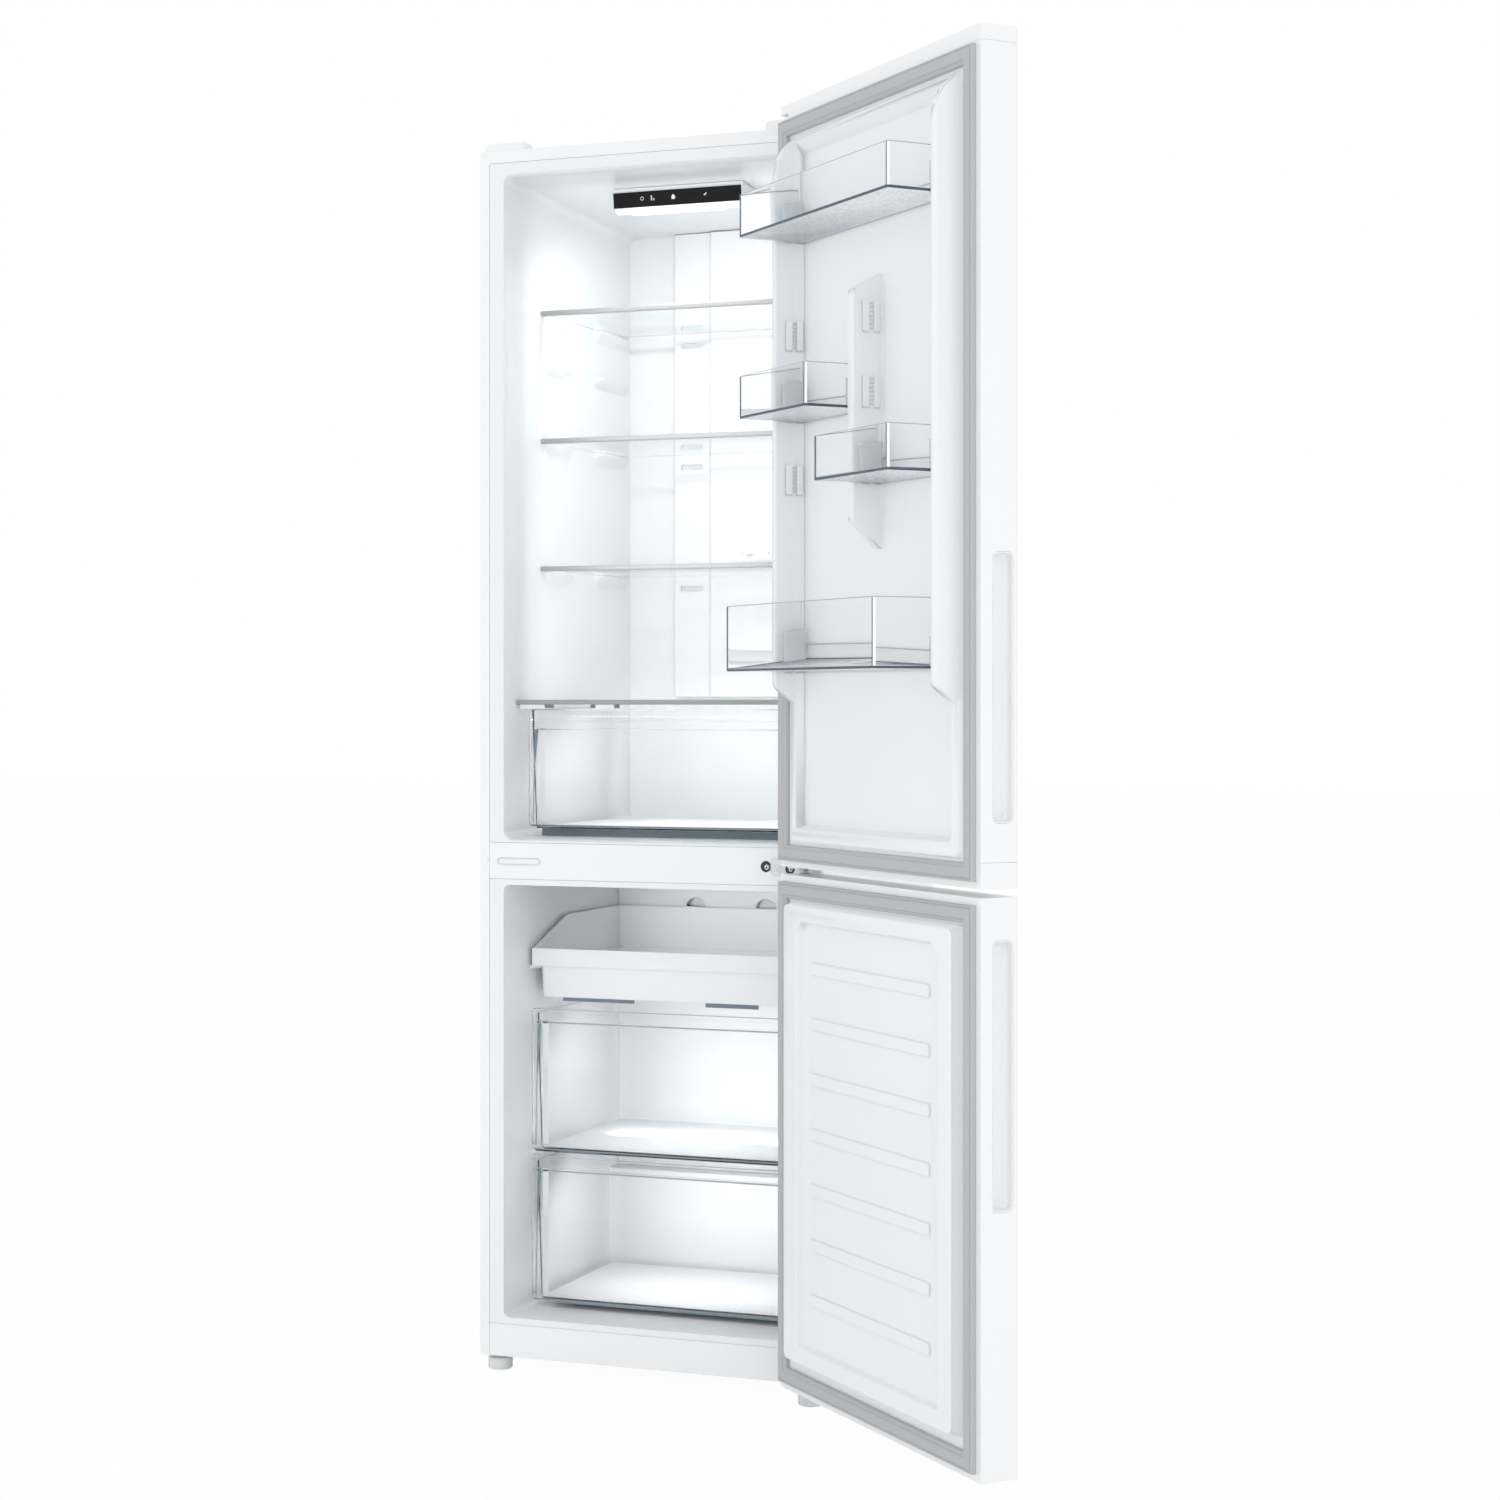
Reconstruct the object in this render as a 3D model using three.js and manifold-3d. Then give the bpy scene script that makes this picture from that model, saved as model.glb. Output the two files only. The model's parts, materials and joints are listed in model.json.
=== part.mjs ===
// A 60 cm wide refrigerator with the freezer below, both doors hinged on the right and standing open.
// Millimetres, +Z up. While it is built, X runs from the cabinet's left side, Y from its front plane to
// the back and Z from the floor. The finished group is shifted so that its origin is the centre of its base.

import * as THREE from 'three';
import { mergeVertices } from 'three/addons/utils/BufferGeometryUtils.js';
import Module from 'manifold-3d';

const wasm = await Module();
wasm.setup();

// ---------------------------------------------------------------- driving dimensions

// cabinet
const WIDTH = 600;
const DEPTH = 591;               // cabinet alone, front plane to back
const CABINET_BOTTOM = 27.5;
const CABINET_TOP = 2011;
const STEEL = 1;                 // sheet steel
const LINER = 2;                 // plastic liner wall
const FIT = 0.3;                 // gap between two pieces that touch
const SIDE_FLANGE = 17;          // return of the steel on the front, at the sides
const TOP_FLANGE = 20;           // the same along the top
const CHANNEL_DEPTH = 18;        // front rails, front to back
const CHANNEL_WALL = 1.5;

// compartments
const MOUTH_INSET = 43;          // cabinet side to the mouth of each compartment
const RAIL_BOTTOM = 813;         // rail between the compartments
const RAIL_HEIGHT = 59.7;
const FREEZER_FRAME_BOTTOM = 81; // lowest edge of the freezer liner's front flange
const LIP_DEPTH = 12;            // rounded lip inside the fridge's mouth
const FRIDGE_REAR_WALL = 86;     // liner's rear face to the cabinet's back
const FREEZER_REAR_WALL = 79;
const REAR_DRAFT = 9;            // each side wall's taper from lip to back, fridge
const FREEZER_DRAFT = 10;
const CEILING_SLOPE = 21;        // fridge ceiling's fall from lip to back
const FREEZER_FRONT_ZONE = 80;   // depth of the freezer's widening at its mouth

// machine space, low at the back
const MACHINE_DEPTH = 161;
const MACHINE_TOP = 245;
const FOAM_SKIN = 28;            // foam between the machine space and the freezer

// shelves
const SHELF_FRONT = 134;
const SHELF_REAR = DEPTH - 136;
const GLASS = 4;
const SHELF_TOPS = [248, 464, 680].map((fall) => CABINET_TOP - fall);
const SPARE_LEVEL = CABINET_TOP - 330;   // a pair of brackets without a shelf
const TRIM_DEPTH = 13;
const TRIM_HEIGHT = 8;
const BRACKET_REACH = 13;
const BRACKET_HEIGHT = 22;

// crisper
const CRISPER_BOTTOM = RAIL_BOTTOM + 80;
const CRISPER_TOP = CRISPER_BOTTOM + 199;
const CRISPER_FRONT = 68;
const CRISPER_REAR = DEPTH - 151;
const COVER_TOP = CRISPER_TOP + 13.5;    // glass over the crisper
const COVER_FRONT = 42;
const DRAWER_SIDE = 57;          // cabinet side to a drawer's front
const DRAWER_WALL = 2.5;

const EGG_TRAY_RIGHT = 207;      // cabinet's right side to the tray's left side

// freezer drawers
const DRAWER_FRONT = 78;
const FRONT_PLATE = 4;
const TOP_DRAWER = { bottom: 612, runner: 664, front: 693, rim: 740 };
const MIDDLE_DRAWER = { bottom: 357.3, plateBottom: 365, top: 585, plateTop: 593 };
const BOTTOM_DRAWER = { bottom: 107, plateBottom: 115, top: 338, plateTop: 347 };
const EVAPORATOR_SPACE = 72;     // from the panel before the evaporator to the liner's back
const BACK_PANEL = DEPTH - FREEZER_REAR_WALL - EVAPORATOR_SPACE;
const EVAPORATOR = { half: 180, depth: 45.7, lift: 26, height: 259, fins: 19 };
const PANEL_THICK = 3;

// doors
const DOOR_THICK = 60.3;
const DOOR_GAP = 13.5;           // door shell's inner plane to the cabinet's front plane
const DOOR_TOP = CABINET_TOP + 18.7;
const UPPER_DOOR_BOTTOM = 848.8;
const LOWER_DOOR_TOP = 836.5;
const LOWER_DOOR_BOTTOM = 38.8;
const TOP_CAP = 22.8;
const BOTTOM_CAP = 35.6;
const DOOR_EDGE_RADIUS = 6;
const DOOR_RETURN = 14;          // steel folded in behind each side of a door
const DOOR_END_WALL = 2;
const HINGE_INSET = 14;          // hinge axis to the cabinet's right side
const HINGE_SETBACK = 24.8;      // hinge axis behind the doors' front faces
const DOOR_OPEN_DEG = 137;       // how far both doors stand open
const PIN_RADIUS = 4;
const PIN_PLAY = 0.6;
const GASKET_EDGE = 10;          // door edge to the gasket
const GASKET_WIDTH = 25;
const GASKET_FACE = 1;           // gasket's face to the cabinet, door closed
const DYKE_X = 67;               // door edge to the inner face of its side bead
const DYKE_WIDTH = 18;
const DYKE_RISE = 30;            // how far the bead reaches into the cabinet
const DOOR_BASE = 20;            // the lining's floor, in front of the cabinet's plane
const PLATEAU = 5;               // the lining's rim, in front of the cabinet's plane
const FIN_WIDTH = 20;
const HOOK_RISE = 3;
const HOOK_HEIGHT = 45;
const HOOK_TOPS = [341.7, 451.7, 562.7].map((fall) => DOOR_TOP - fall);
const GRIP = { width: 34, depth: 19, inset: 9, length: 372 };
const UPPER_GRIP_BOTTOM = 938;
const LOWER_GRIP_BOTTOM = 406;
const BIN_WALL = 2.5;
const BIN_FLOOR = 3;
const BIN_REAR = 18;             // bin's rear face, in front of the cabinet's plane
const SMALL_BIN_REACH = 94;
const BOTTLE_BIN_REACH = 116;
const SMALL_BIN_HEIGHT = 65;
const BOTTLE_BIN_HEIGHT = 99;
const BIN_BOTTOMS = {
  upper: DOOR_TOP - 221.7, hinge: DOOR_TOP - 496.7, free: DOOR_TOP - 607.7, bottle: DOOR_TOP - 879.7 };
const LOWER_PLATEAU = 6;         // freezer door's rim, inside the cabinet's plane
const LOWER_RECESS = 4;          // freezer door's field, in front of the cabinet's plane
const BAR_COUNT = 7;
const BAR_PITCH = 83.7;
const BAR_TOP = 710;
const BAR_HEIGHT = 21;
const BAR_RELIEF = 2.6;

// feet and rollers
const FOOT_RADIUS = 20.5;
const FOOT_HEIGHT = 20;
const FOOT_COLLAR = 3;
const STEM_RADIUS = 5;
const LEFT_FOOT = [21, 34];
const RIGHT_FOOT_AHEAD = 11;     // the right foot stands before the front plane
const RIGHT_FOOT_INSET = 18;
const ROLLER_RADIUS = 16;
const ROLLER_WIDTH = 20;
const AXLE_RADIUS = 3;
const AXLE_FROM_BACK = 36;

// ---------------------------------------------------------------- derived places

const WALL_GAP = STEEL + FIT;
const RAIL_TOP = RAIL_BOTTOM + RAIL_HEIGHT;
const RIGHT = (x) => WIDTH - x;
const FOAM_BACK = DEPTH - 3;
const FRIDGE_BACK = DEPTH - FRIDGE_REAR_WALL;
const FREEZER_BACK = DEPTH - FREEZER_REAR_WALL;
const MACHINE_FRONT = DEPTH - MACHINE_DEPTH;
const HUMP_FRONT = MACHINE_FRONT - FOAM_SKIN - LINER;
const HUMP_TOP = MACHINE_TOP + FOAM_SKIN + LINER;
const FLANGE_TOP = CABINET_TOP - TOP_FLANGE - FIT;
const HINGE_X = WIDTH - HINGE_INSET;
const DOOR_INNER = -DOOR_GAP;
const DOOR_FRONT = -DOOR_GAP - DOOR_THICK;
const HINGE_Y = DOOR_FRONT + HINGE_SETBACK;
const MID = WIDTH / 2;
const BRACKET_PLATE = 3;
const HINGE_ARM = 6.5;           // half width of the top bracket's arm

// each section of a compartment: y, inset from the cabinet's side, floor, ceiling, corner radius
const fridgeSections = [
  { y: 0, inset: MOUTH_INSET, z0: RAIL_TOP + 3.3, z1: CABINET_TOP - 39, r: 15 },
  { y: LIP_DEPTH, inset: MOUTH_INSET + 2, z0: RAIL_TOP + 7.3, z1: CABINET_TOP - 46, r: 13 },
  {
    y: FRIDGE_BACK, inset: MOUTH_INSET + 2 + REAR_DRAFT,
    z0: RAIL_TOP + 11.3, z1: CABINET_TOP - 46 - CEILING_SLOPE, r: 20,
  },
];
const freezerSections = [
  { y: 0, inset: MOUTH_INSET, z0: FREEZER_FRAME_BOTTOM + 11, z1: RAIL_BOTTOM - 10, r: 10 },
  {
    y: FREEZER_FRONT_ZONE, inset: MOUTH_INSET + 7,
    z0: FREEZER_FRAME_BOTTOM + 13, z1: RAIL_BOTTOM - 11, r: 10,
  },
  {
    y: FREEZER_BACK, inset: MOUTH_INSET + 7 + FREEZER_DRAFT,
    z0: FREEZER_FRAME_BOTTOM + 17, z1: RAIL_BOTTOM - 15, r: 14,
  },
];

// value of one field of a compartment's sections at depth y
function along(sections, y, field) {
  const last = sections.length - 1;
  let k = 0;
  while (k < last - 1 && y > sections[k + 1].y) k++;
  const [a, b] = [sections[k], sections[k + 1]];
  return THREE.MathUtils.lerp(a[field], b[field], (y - a.y) / (b.y - a.y));
}
const fridgeWall = (y) => along(fridgeSections, y, 'inset');
const fridgeCeiling = (y) => along(fridgeSections, y, 'z1');
const fridgeFloor = (y) => along(fridgeSections, y, 'z0');
const freezerWall = (y) => along(freezerSections, y, 'inset');
const freezerCeiling = (y) => along(freezerSections, y, 'z1');
const freezerFloor = (y) => along(freezerSections, y, 'z0');

// ---------------------------------------------------------------- solids

function toSolid(geometry) {
  const bare = geometry.clone();
  bare.deleteAttribute('normal');
  bare.deleteAttribute('uv');
  const merged = mergeVertices(bare, 1e-4);
  const triVerts = [];
  const index = merged.index.array;
  for (let i = 0; i < index.length; i += 3) {
    const [a, b, c] = [index[i], index[i + 1], index[i + 2]];
    if (a !== b && b !== c && c !== a) triVerts.push(a, b, c);
  }
  const vertProperties = new Float32Array(merged.attributes.position.array);
  const mesh = new wasm.Mesh({ numProp: 3, vertProperties, triVerts: new Uint32Array(triVerts) });
  return new wasm.Manifold(mesh);
}

function toGeometry(solid) {
  const mesh = solid.getMesh();
  const geometry = new THREE.BufferGeometry();
  geometry.setAttribute('position', new THREE.BufferAttribute(new Float32Array(mesh.vertProperties), 3));
  geometry.setIndex(new THREE.BufferAttribute(new Uint32Array(mesh.triVerts), 1));
  const flat = geometry.toNonIndexed();
  flat.computeVertexNormals();
  return flat;
}

const join = (...solids) => solids.flat().reduce((a, b) => a.add(b));
const cut = (solid, ...tools) => tools.flat().reduce((a, b) => a.subtract(b), solid);

// polygon from [u, v] pairs
const polygon = (points) => new THREE.Shape(points.map(([u, v]) => new THREE.Vector2(u, v)));

// rectangle with rounded corners; the radius may be given for each corner
function roundRect(u0, v0, u1, v1, radius = 0) {
  const [r00, r10, r11, r01] = Array.isArray(radius) ? radius : [radius, radius, radius, radius];
  const shape = new THREE.Shape();
  const corner = (cu, cv, r, from) => {
    if (r > 0) shape.absarc(cu, cv, r, from, from + Math.PI / 2, false);
  };
  shape.moveTo(u0 + r00, v0);
  shape.lineTo(u1 - r10, v0);
  corner(u1 - r10, v0 + r10, r10, -Math.PI / 2);
  shape.lineTo(u1, v1 - r11);
  corner(u1 - r11, v1 - r11, r11, 0);
  shape.lineTo(u0 + r01, v1);
  corner(u0 + r01, v1 - r01, r01, Math.PI / 2);
  shape.lineTo(u0, v0 + r00);
  corner(u0 + r00, v0 + r00, r00, Math.PI);
  return shape;
}

// a slot-ended bar between two points
function capsule(u0, v0, u1, v1, r) {
  const angle = Math.atan2(v1 - v0, u1 - u0);
  const shape = new THREE.Shape();
  shape.absarc(u0, v0, r, angle + Math.PI / 2, angle + 1.5 * Math.PI, false);
  shape.absarc(u1, v1, r, angle - Math.PI / 2, angle + Math.PI / 2, false);
  return shape;
}

function circle(u, v, r) {
  const shape = new THREE.Shape();
  shape.absarc(u, v, r, 0, Math.PI * 2, false);
  return shape;
}

const ARC = 2;                   // facets of a corner, half

function extrude(shape, depth, xAxis, yAxis, zAxis, arc) {
  const geometry = new THREE.ExtrudeGeometry(shape, { depth, bevelEnabled: false, curveSegments: arc });
  geometry.applyMatrix4(new THREE.Matrix4().makeBasis(xAxis, yAxis, zAxis));
  return geometry;
}
const EX = new THREE.Vector3(1, 0, 0);
const EY = new THREE.Vector3(0, 1, 0);
const EZ = new THREE.Vector3(0, 0, 1);
const NEG_Y = new THREE.Vector3(0, -1, 0);

// outlines drawn in XY, YZ or XZ and drawn out along the third axis
const prismZ = (shape, z0, z1, arc = ARC) =>
  toSolid(extrude(shape, z1 - z0, EX, EY, EZ, arc).translate(0, 0, z0));
const prismX = (shape, x0, x1, arc = ARC) =>
  toSolid(extrude(shape, x1 - x0, EY, EZ, EX, arc).translate(x0, 0, 0));
const prismY = (shape, y0, y1, arc = ARC) =>
  toSolid(extrude(shape, y1 - y0, EX, EZ, NEG_Y, arc).translate(0, y1, 0));
const block = (x0, x1, y0, y1, z0, z1) => prismZ(roundRect(x0, y0, x1, y1), z0, z1);
const discZ = (x, y, r, z0, z1, arc = 6) => prismZ(circle(x, y, r), z0, z1, arc);
const discX = (y, z, r, x0, x1, arc = 6) => prismX(circle(y, z, r), x0, x1, arc);
const discY = (x, z, r, y0, y1, arc = 6) => prismY(circle(x, z, r), y0, y1, arc);

// closed skin through rings of equally many points
function loft(rings) {
  const n = rings[0].length;
  const position = rings.flat(2);
  const index = [];
  for (let k = 0; k + 1 < rings.length; k++) {
    for (let i = 0; i < n; i++) {
      const [a, b] = [k * n + i, k * n + ((i + 1) % n)];
      index.push(a, b, b + n, a, b + n, a + n);
    }
  }
  const end = (rings.length - 1) * n;
  for (let i = 1; i + 1 < n; i++) index.push(0, i + 1, i, end, end + i, end + i + 1);
  if (signedVolume(position, index) < 0) index.reverse();
  const geometry = new THREE.BufferGeometry();
  geometry.setAttribute('position', new THREE.BufferAttribute(new Float32Array(position), 3));
  geometry.setIndex(index);
  return toSolid(geometry);
}

function signedVolume(position, index) {
  const [a, b, c] = [new THREE.Vector3(), new THREE.Vector3(), new THREE.Vector3()];
  let sum = 0;
  for (let i = 0; i < index.length; i += 3) {
    a.fromArray(position, index[i] * 3);
    b.fromArray(position, index[i + 1] * 3);
    c.fromArray(position, index[i + 2] * 3);
    sum += a.dot(b.cross(c));
  }
  return sum;
}

// corner points of a rounded rectangle, 4 to a corner
function ringPoints(u0, v0, u1, v1, r) {
  const centres = [[u1 - r, v1 - r], [u0 + r, v1 - r], [u0 + r, v0 + r], [u1 - r, v0 + r]];
  return centres.flatMap(([cu, cv], k) =>
    [0, 1, 2, 3].map((i) => {
      const a = (k + i / 3) * (Math.PI / 2);
      return [cu + r * Math.cos(a), cv + r * Math.sin(a)];
    }));
}
const ringXZ = (y, x0, z0, x1, z1, r) => ringPoints(x0, z0, x1, z1, r).map(([x, z]) => [x, y, z]);
const ringXY = (z, x0, y0, x1, y1, r) => ringPoints(x0, y0, x1, y1, r).map(([x, y]) => [x, y, z]);

// the space of a compartment, grown outwards by a wall
function space(sections, grow, mouth) {
  const rings = sections.map(({ y, inset, z0, z1, r }) =>
    ringXZ(y, inset - grow, z0 - grow, RIGHT(inset) + grow, z1 + grow, r + grow));
  const first = rings[0].map(([x, , z]) => [x, mouth, z]);
  const back = rings[rings.length - 1];
  const last = back.map(([x, y, z]) => [x, y + grow, z]);
  return loft([first, ...rings, ...(grow > 0 ? [last] : [])]);
}

// a ledge moulded on a side wall, tapering into it at both ends
function ledge({ wall, y0, y1, top, tip, lip, height, right = false, ease = 14 }) {
  const stations = [y0, y0 + ease, y1 - ease, y1];
  const rings = stations.map((y, k) => {
    const root = wall(y) - 1;
    const reach = k === 0 || k === 3 ? wall(y) + 1 : tip;
    const points = [[root, top], [reach, top], [reach, top - lip], [root, top - height]];
    return points.map(([x, z]) => [right ? RIGHT(x) : x, y, z]);
  });
  return loft(rings);
}
const ledgePair = (spec) => [ledge(spec), ledge({ ...spec, right: true })];

// level rails standing on a sloping floor
function floorRails(floor, inset, width, y0, y1, top) {
  const side = polygon([[y0, floor(y0) - 1], [y1, floor(y1) - 1], [y1, top], [y0, top]]);
  return [inset, RIGHT(inset + width)].map((x) => prismX(side, x, x + width));
}

const mirror = (make) => [make((x) => x), make(RIGHT)];
const blockBetween = (xa, xb, ...rest) => block(Math.min(xa, xb), Math.max(xa, xb), ...rest);

// ---------------------------------------------------------------- materials

const finish = (color, roughness, metalness = 0, extra = {}) =>
  new THREE.MeshStandardMaterial({ color, roughness, metalness, ...extra });
const WHITE_STEEL = finish(0xf2f3f4, 0.4);
const WHITE_PLASTIC = finish(0xf4f5f6, 0.5);
const LINER_WHITE = finish(0xf0f2f4, 0.45);
const GREY_TRIM = finish(0xb4b7b8, 0.5);
const GASKET_GREY = finish(0xc9c9c6, 0.75);
const CLEAR = finish(0xd6e2e8, 0.1, 0, { transparent: true, opacity: 0.4 });
const GLASS_SHEET = finish(0xcfe6e2, 0.05, 0, { transparent: true, opacity: 0.35 });
const BLACK_GLASS = finish(0x17181a, 0.15);
const LAMP_WHITE = finish(0xffffff, 0.3);
const ZINC = finish(0xb9bdc0, 0.4, 0.9);
const ALUMINIUM = finish(0xd0d3d6, 0.35, 0.9);
const COPPER = finish(0xb87348, 0.35, 0.9);
const BLACK_PAINT = finish(0x1d1e20, 0.5, 0.2);
const RUBBER = finish(0x202122, 0.85);
const FOAM = finish(0xe9dcae, 0.95);
const GREY_PLASTIC = finish(0x8d9194, 0.6);

const refrigerator = new THREE.Group();
function add(parent, name, solid, material) {
  const mesh = new THREE.Mesh(toGeometry(solid), material);
  mesh.name = name;
  parent.add(mesh);
  return mesh;
}

// ---------------------------------------------------------------- cabinet

function cabinetShell() {
  const outer = prismY(roundRect(0, CABINET_BOTTOM, WIDTH, CABINET_TOP, [0, 0, 4, 4]), 0, DEPTH);
  const inside = block(STEEL, RIGHT(STEEL), STEEL, DEPTH + 1, CABINET_BOTTOM - 1, CABINET_TOP - STEEL);
  const mouth = block(
    SIDE_FLANGE, RIGHT(SIDE_FLANGE), -1, STEEL + 1, CABINET_BOTTOM - 1, CABINET_TOP - TOP_FLANGE);
  return cut(outer, inside, mouth);
}

function insulationFoam() {
  const front = LINER + FIT;
  const bulk = block(
    WALL_GAP, RIGHT(WALL_GAP), front, FOAM_BACK,
    CABINET_BOTTOM + STEEL + 2 * FIT, CABINET_TOP - WALL_GAP);
  const grow = LINER + FIT;
  const hump = block(
    0, WIDTH, HUMP_FRONT + FIT + LINER, DEPTH, 0, HUMP_TOP - LINER - FIT);
  const freezer = cut(space(freezerSections, grow, -1), hump);
  const machine = block(
    0, WIDTH, MACHINE_FRONT - FIT - STEEL, DEPTH + 1, 0, MACHINE_TOP + FIT);
  const channel = (z0, z1) =>
    block(SIDE_FLANGE, RIGHT(SIDE_FLANGE), 0, CHANNEL_DEPTH + FIT, z0 - FIT, z1 + FIT);
  const stemHole = discZ(LEFT_FOOT[0], LEFT_FOOT[1], STEM_RADIUS + 1, 0, CABINET_BOTTOM + 18);
  return cut(
    bulk, space(fridgeSections, grow, -1), freezer, machine,
    channel(RAIL_BOTTOM, RAIL_TOP), channel(CABINET_BOTTOM, FREEZER_FRAME_BOTTOM), stemHole);
}

function fridgeLiner() {
  const flange = block(
    SIDE_FLANGE + FIT, RIGHT(SIDE_FLANGE) - FIT, 0, LINER, RAIL_TOP + FIT, FLANGE_TOP);
  const skin = join(flange, space(fridgeSections, LINER, 0));
  const shell = cut(skin, space(fridgeSections, 0, -1));
  const reach = { lip: 6, height: BRACKET_HEIGHT, wall: fridgeWall };
  const levels = [...SHELF_TOPS.map((z) => z - GLASS), SPARE_LEVEL - GLASS];
  const brackets = levels.flatMap((level) => [
    ...ledgePair({ ...reach, y0: SHELF_FRONT + 16, y1: SHELF_FRONT + 119,
      top: level - FIT, tip: fridgeWall(SHELF_FRONT) + BRACKET_REACH }),
    ...ledgePair({ ...reach, y0: SHELF_FRONT + 213, y1: SHELF_REAR + 30,
      top: level - FIT, tip: fridgeWall(SHELF_REAR) + BRACKET_REACH }),
  ]);
  const coverLedges = ledgePair({
    wall: fridgeWall, y0: COVER_FRONT + 20, y1: CRISPER_REAR + 20,
    top: COVER_TOP - GLASS - FIT, tip: fridgeWall(CRISPER_REAR) + 10, lip: 4, height: 7 });
  const rails = floorRails(
    fridgeFloor, DRAWER_SIDE + 31, 10, CRISPER_FRONT + 45, CRISPER_REAR - 8, CRISPER_BOTTOM - FIT);
  return join(shell, brackets, coverLedges, rails);
}

function freezerLiner() {
  const flange = block(
    SIDE_FLANGE + FIT, RIGHT(SIDE_FLANGE) - FIT, 0, LINER, FREEZER_FRAME_BOTTOM, RAIL_BOTTOM - FIT);
  const humpOutside = block(0, WIDTH, HUMP_FRONT + LINER, DEPTH, 0, HUMP_TOP - LINER);
  const humpInside = block(0, WIDTH, HUMP_FRONT, DEPTH, 0, HUMP_TOP);
  const skin = join(flange, cut(space(freezerSections, LINER, 0), humpOutside));
  const shell = cut(skin, cut(space(freezerSections, 0, -1), humpInside));
  const runners = ledgePair({
    wall: freezerWall, y0: DRAWER_FRONT + 8, y1: BACK_PANEL - 10, top: TOP_DRAWER.runner - FIT,
    tip: DRAWER_SIDE + 11, lip: 5, height: 8 });
  const glassLedges = ledgePair({
    wall: freezerWall, y0: DRAWER_FRONT + 12, y1: HUMP_FRONT - 6,
    top: MIDDLE_DRAWER.bottom - GLASS - 2 * FIT, tip: DRAWER_SIDE + 9, lip: 5, height: 8 });
  const rails = floorRails(
    freezerFloor, DRAWER_SIDE + 43, 10, DRAWER_FRONT + 45, HUMP_FRONT - 8, BOTTOM_DRAWER.bottom - FIT);
  return join(shell, runners, glassLedges, rails);
}

// a C-section across the front, open to the back
function channel(z0, z1) {
  const [d, t] = [CHANNEL_DEPTH, CHANNEL_WALL];
  const section = polygon([
    [0, z0], [d, z0], [d, z0 + t], [t, z0 + t], [t, z1 - t], [d, z1 - t], [d, z1], [0, z1]]);
  return prismX(section, SIDE_FLANGE + FIT, RIGHT(SIDE_FLANGE) - FIT);
}

function middleRail() {
  const slotZ = RAIL_BOTTOM + 28.5;
  const slot = prismY(capsule(35, slotZ, 105, slotZ, 6.5), -1, 0.7);
  return cut(channel(RAIL_BOTTOM, RAIL_TOP), slot);
}

// base sheet: front rail, floor under the freezer, bulkhead and roof of the machine space
function basePlate() {
  const t = STEEL + 0.2;
  const [d, top] = [CHANNEL_DEPTH, FREEZER_FRAME_BOTTOM - FIT];
  const section = polygon([
    [0, CABINET_BOTTOM], [MACHINE_FRONT, CABINET_BOTTOM],
    [MACHINE_FRONT, MACHINE_TOP - t], [FOAM_BACK - FIT, MACHINE_TOP - t],
    [FOAM_BACK - FIT, MACHINE_TOP], [MACHINE_FRONT - t, MACHINE_TOP],
    [MACHINE_FRONT - t, CABINET_BOTTOM + t], [t, CABINET_BOTTOM + t],
    [t, top - t], [d, top - t], [d, top], [0, top]]);
  const sheet = prismX(section, WALL_GAP, RIGHT(WALL_GAP));
  const corners = [[0, SIDE_FLANGE + FIT], [RIGHT(SIDE_FLANGE) - FIT, WIDTH]].map(([a, b]) =>
    block(a, b, -1, d + FIT, CABINET_BOTTOM - 1, top + 1));
  const stemHole = discZ(LEFT_FOOT[0], LEFT_FOOT[1], STEM_RADIUS + 0.4, 0, CABINET_BOTTOM + 5);
  return cut(sheet, corners, stemHole);
}

function rearPanel() {
  const y = FOAM_BACK + FIT;
  const sheet = block(WALL_GAP, RIGHT(WALL_GAP), y, y + STEEL, MACHINE_TOP + FIT, CABINET_TOP - WALL_GAP);
  const z = [MACHINE_TOP + 160, CABINET_TOP - 160];
  const beads = [0.22, 0.5, 0.78].map((share) =>
    prismY(capsule(WIDTH * share, z[0], WIDTH * share, z[1], 9), y + STEEL - 0.1, y + STEEL + 1.4));
  return join(sheet, beads);
}

const AXLE_Y = DEPTH - AXLE_FROM_BACK;
const TRAY_Z = 40;
const ROLLER_INSET = 43;

function compressorTray() {
  const t = 1.5;
  const [y0, y1] = [MACHINE_FRONT + FIT, FOAM_BACK - 2];
  const [x0, x1] = [WALL_GAP, RIGHT(WALL_GAP)];
  const pan = cut(
    block(x0, x1, y0, y1, TRAY_Z, TRAY_Z + 32),
    block(x0 + t, x1 - t, y0 + t, y1 + 1, TRAY_Z + t, TRAY_Z + 40));
  const rearLip = block(x0, x1, y1 - t, y1, TRAY_Z - 12, TRAY_Z + 1);
  const ears = [-1, 1].flatMap((side) => mirror((x) => {
    const at = ROLLER_INSET + side * (ROLLER_WIDTH / 2 + 6);
    const ear = polygon([
      [AXLE_Y - 12, TRAY_Z + 1], [AXLE_Y - 8, ROLLER_RADIUS - 7], [AXLE_Y + 8, ROLLER_RADIUS - 7],
      [AXLE_Y + 12, TRAY_Z + 1]]);
    const [a, b] = [x(at - 1), x(at + 1)].sort((p, q) => p - q);
    return prismX(ear, a, b);
  }));
  const hole = discX(AXLE_Y, ROLLER_RADIUS, AXLE_RADIUS + 0.4, 0, WIDTH);
  return cut(join(pan, rearLip, ears), hole);
}

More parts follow.
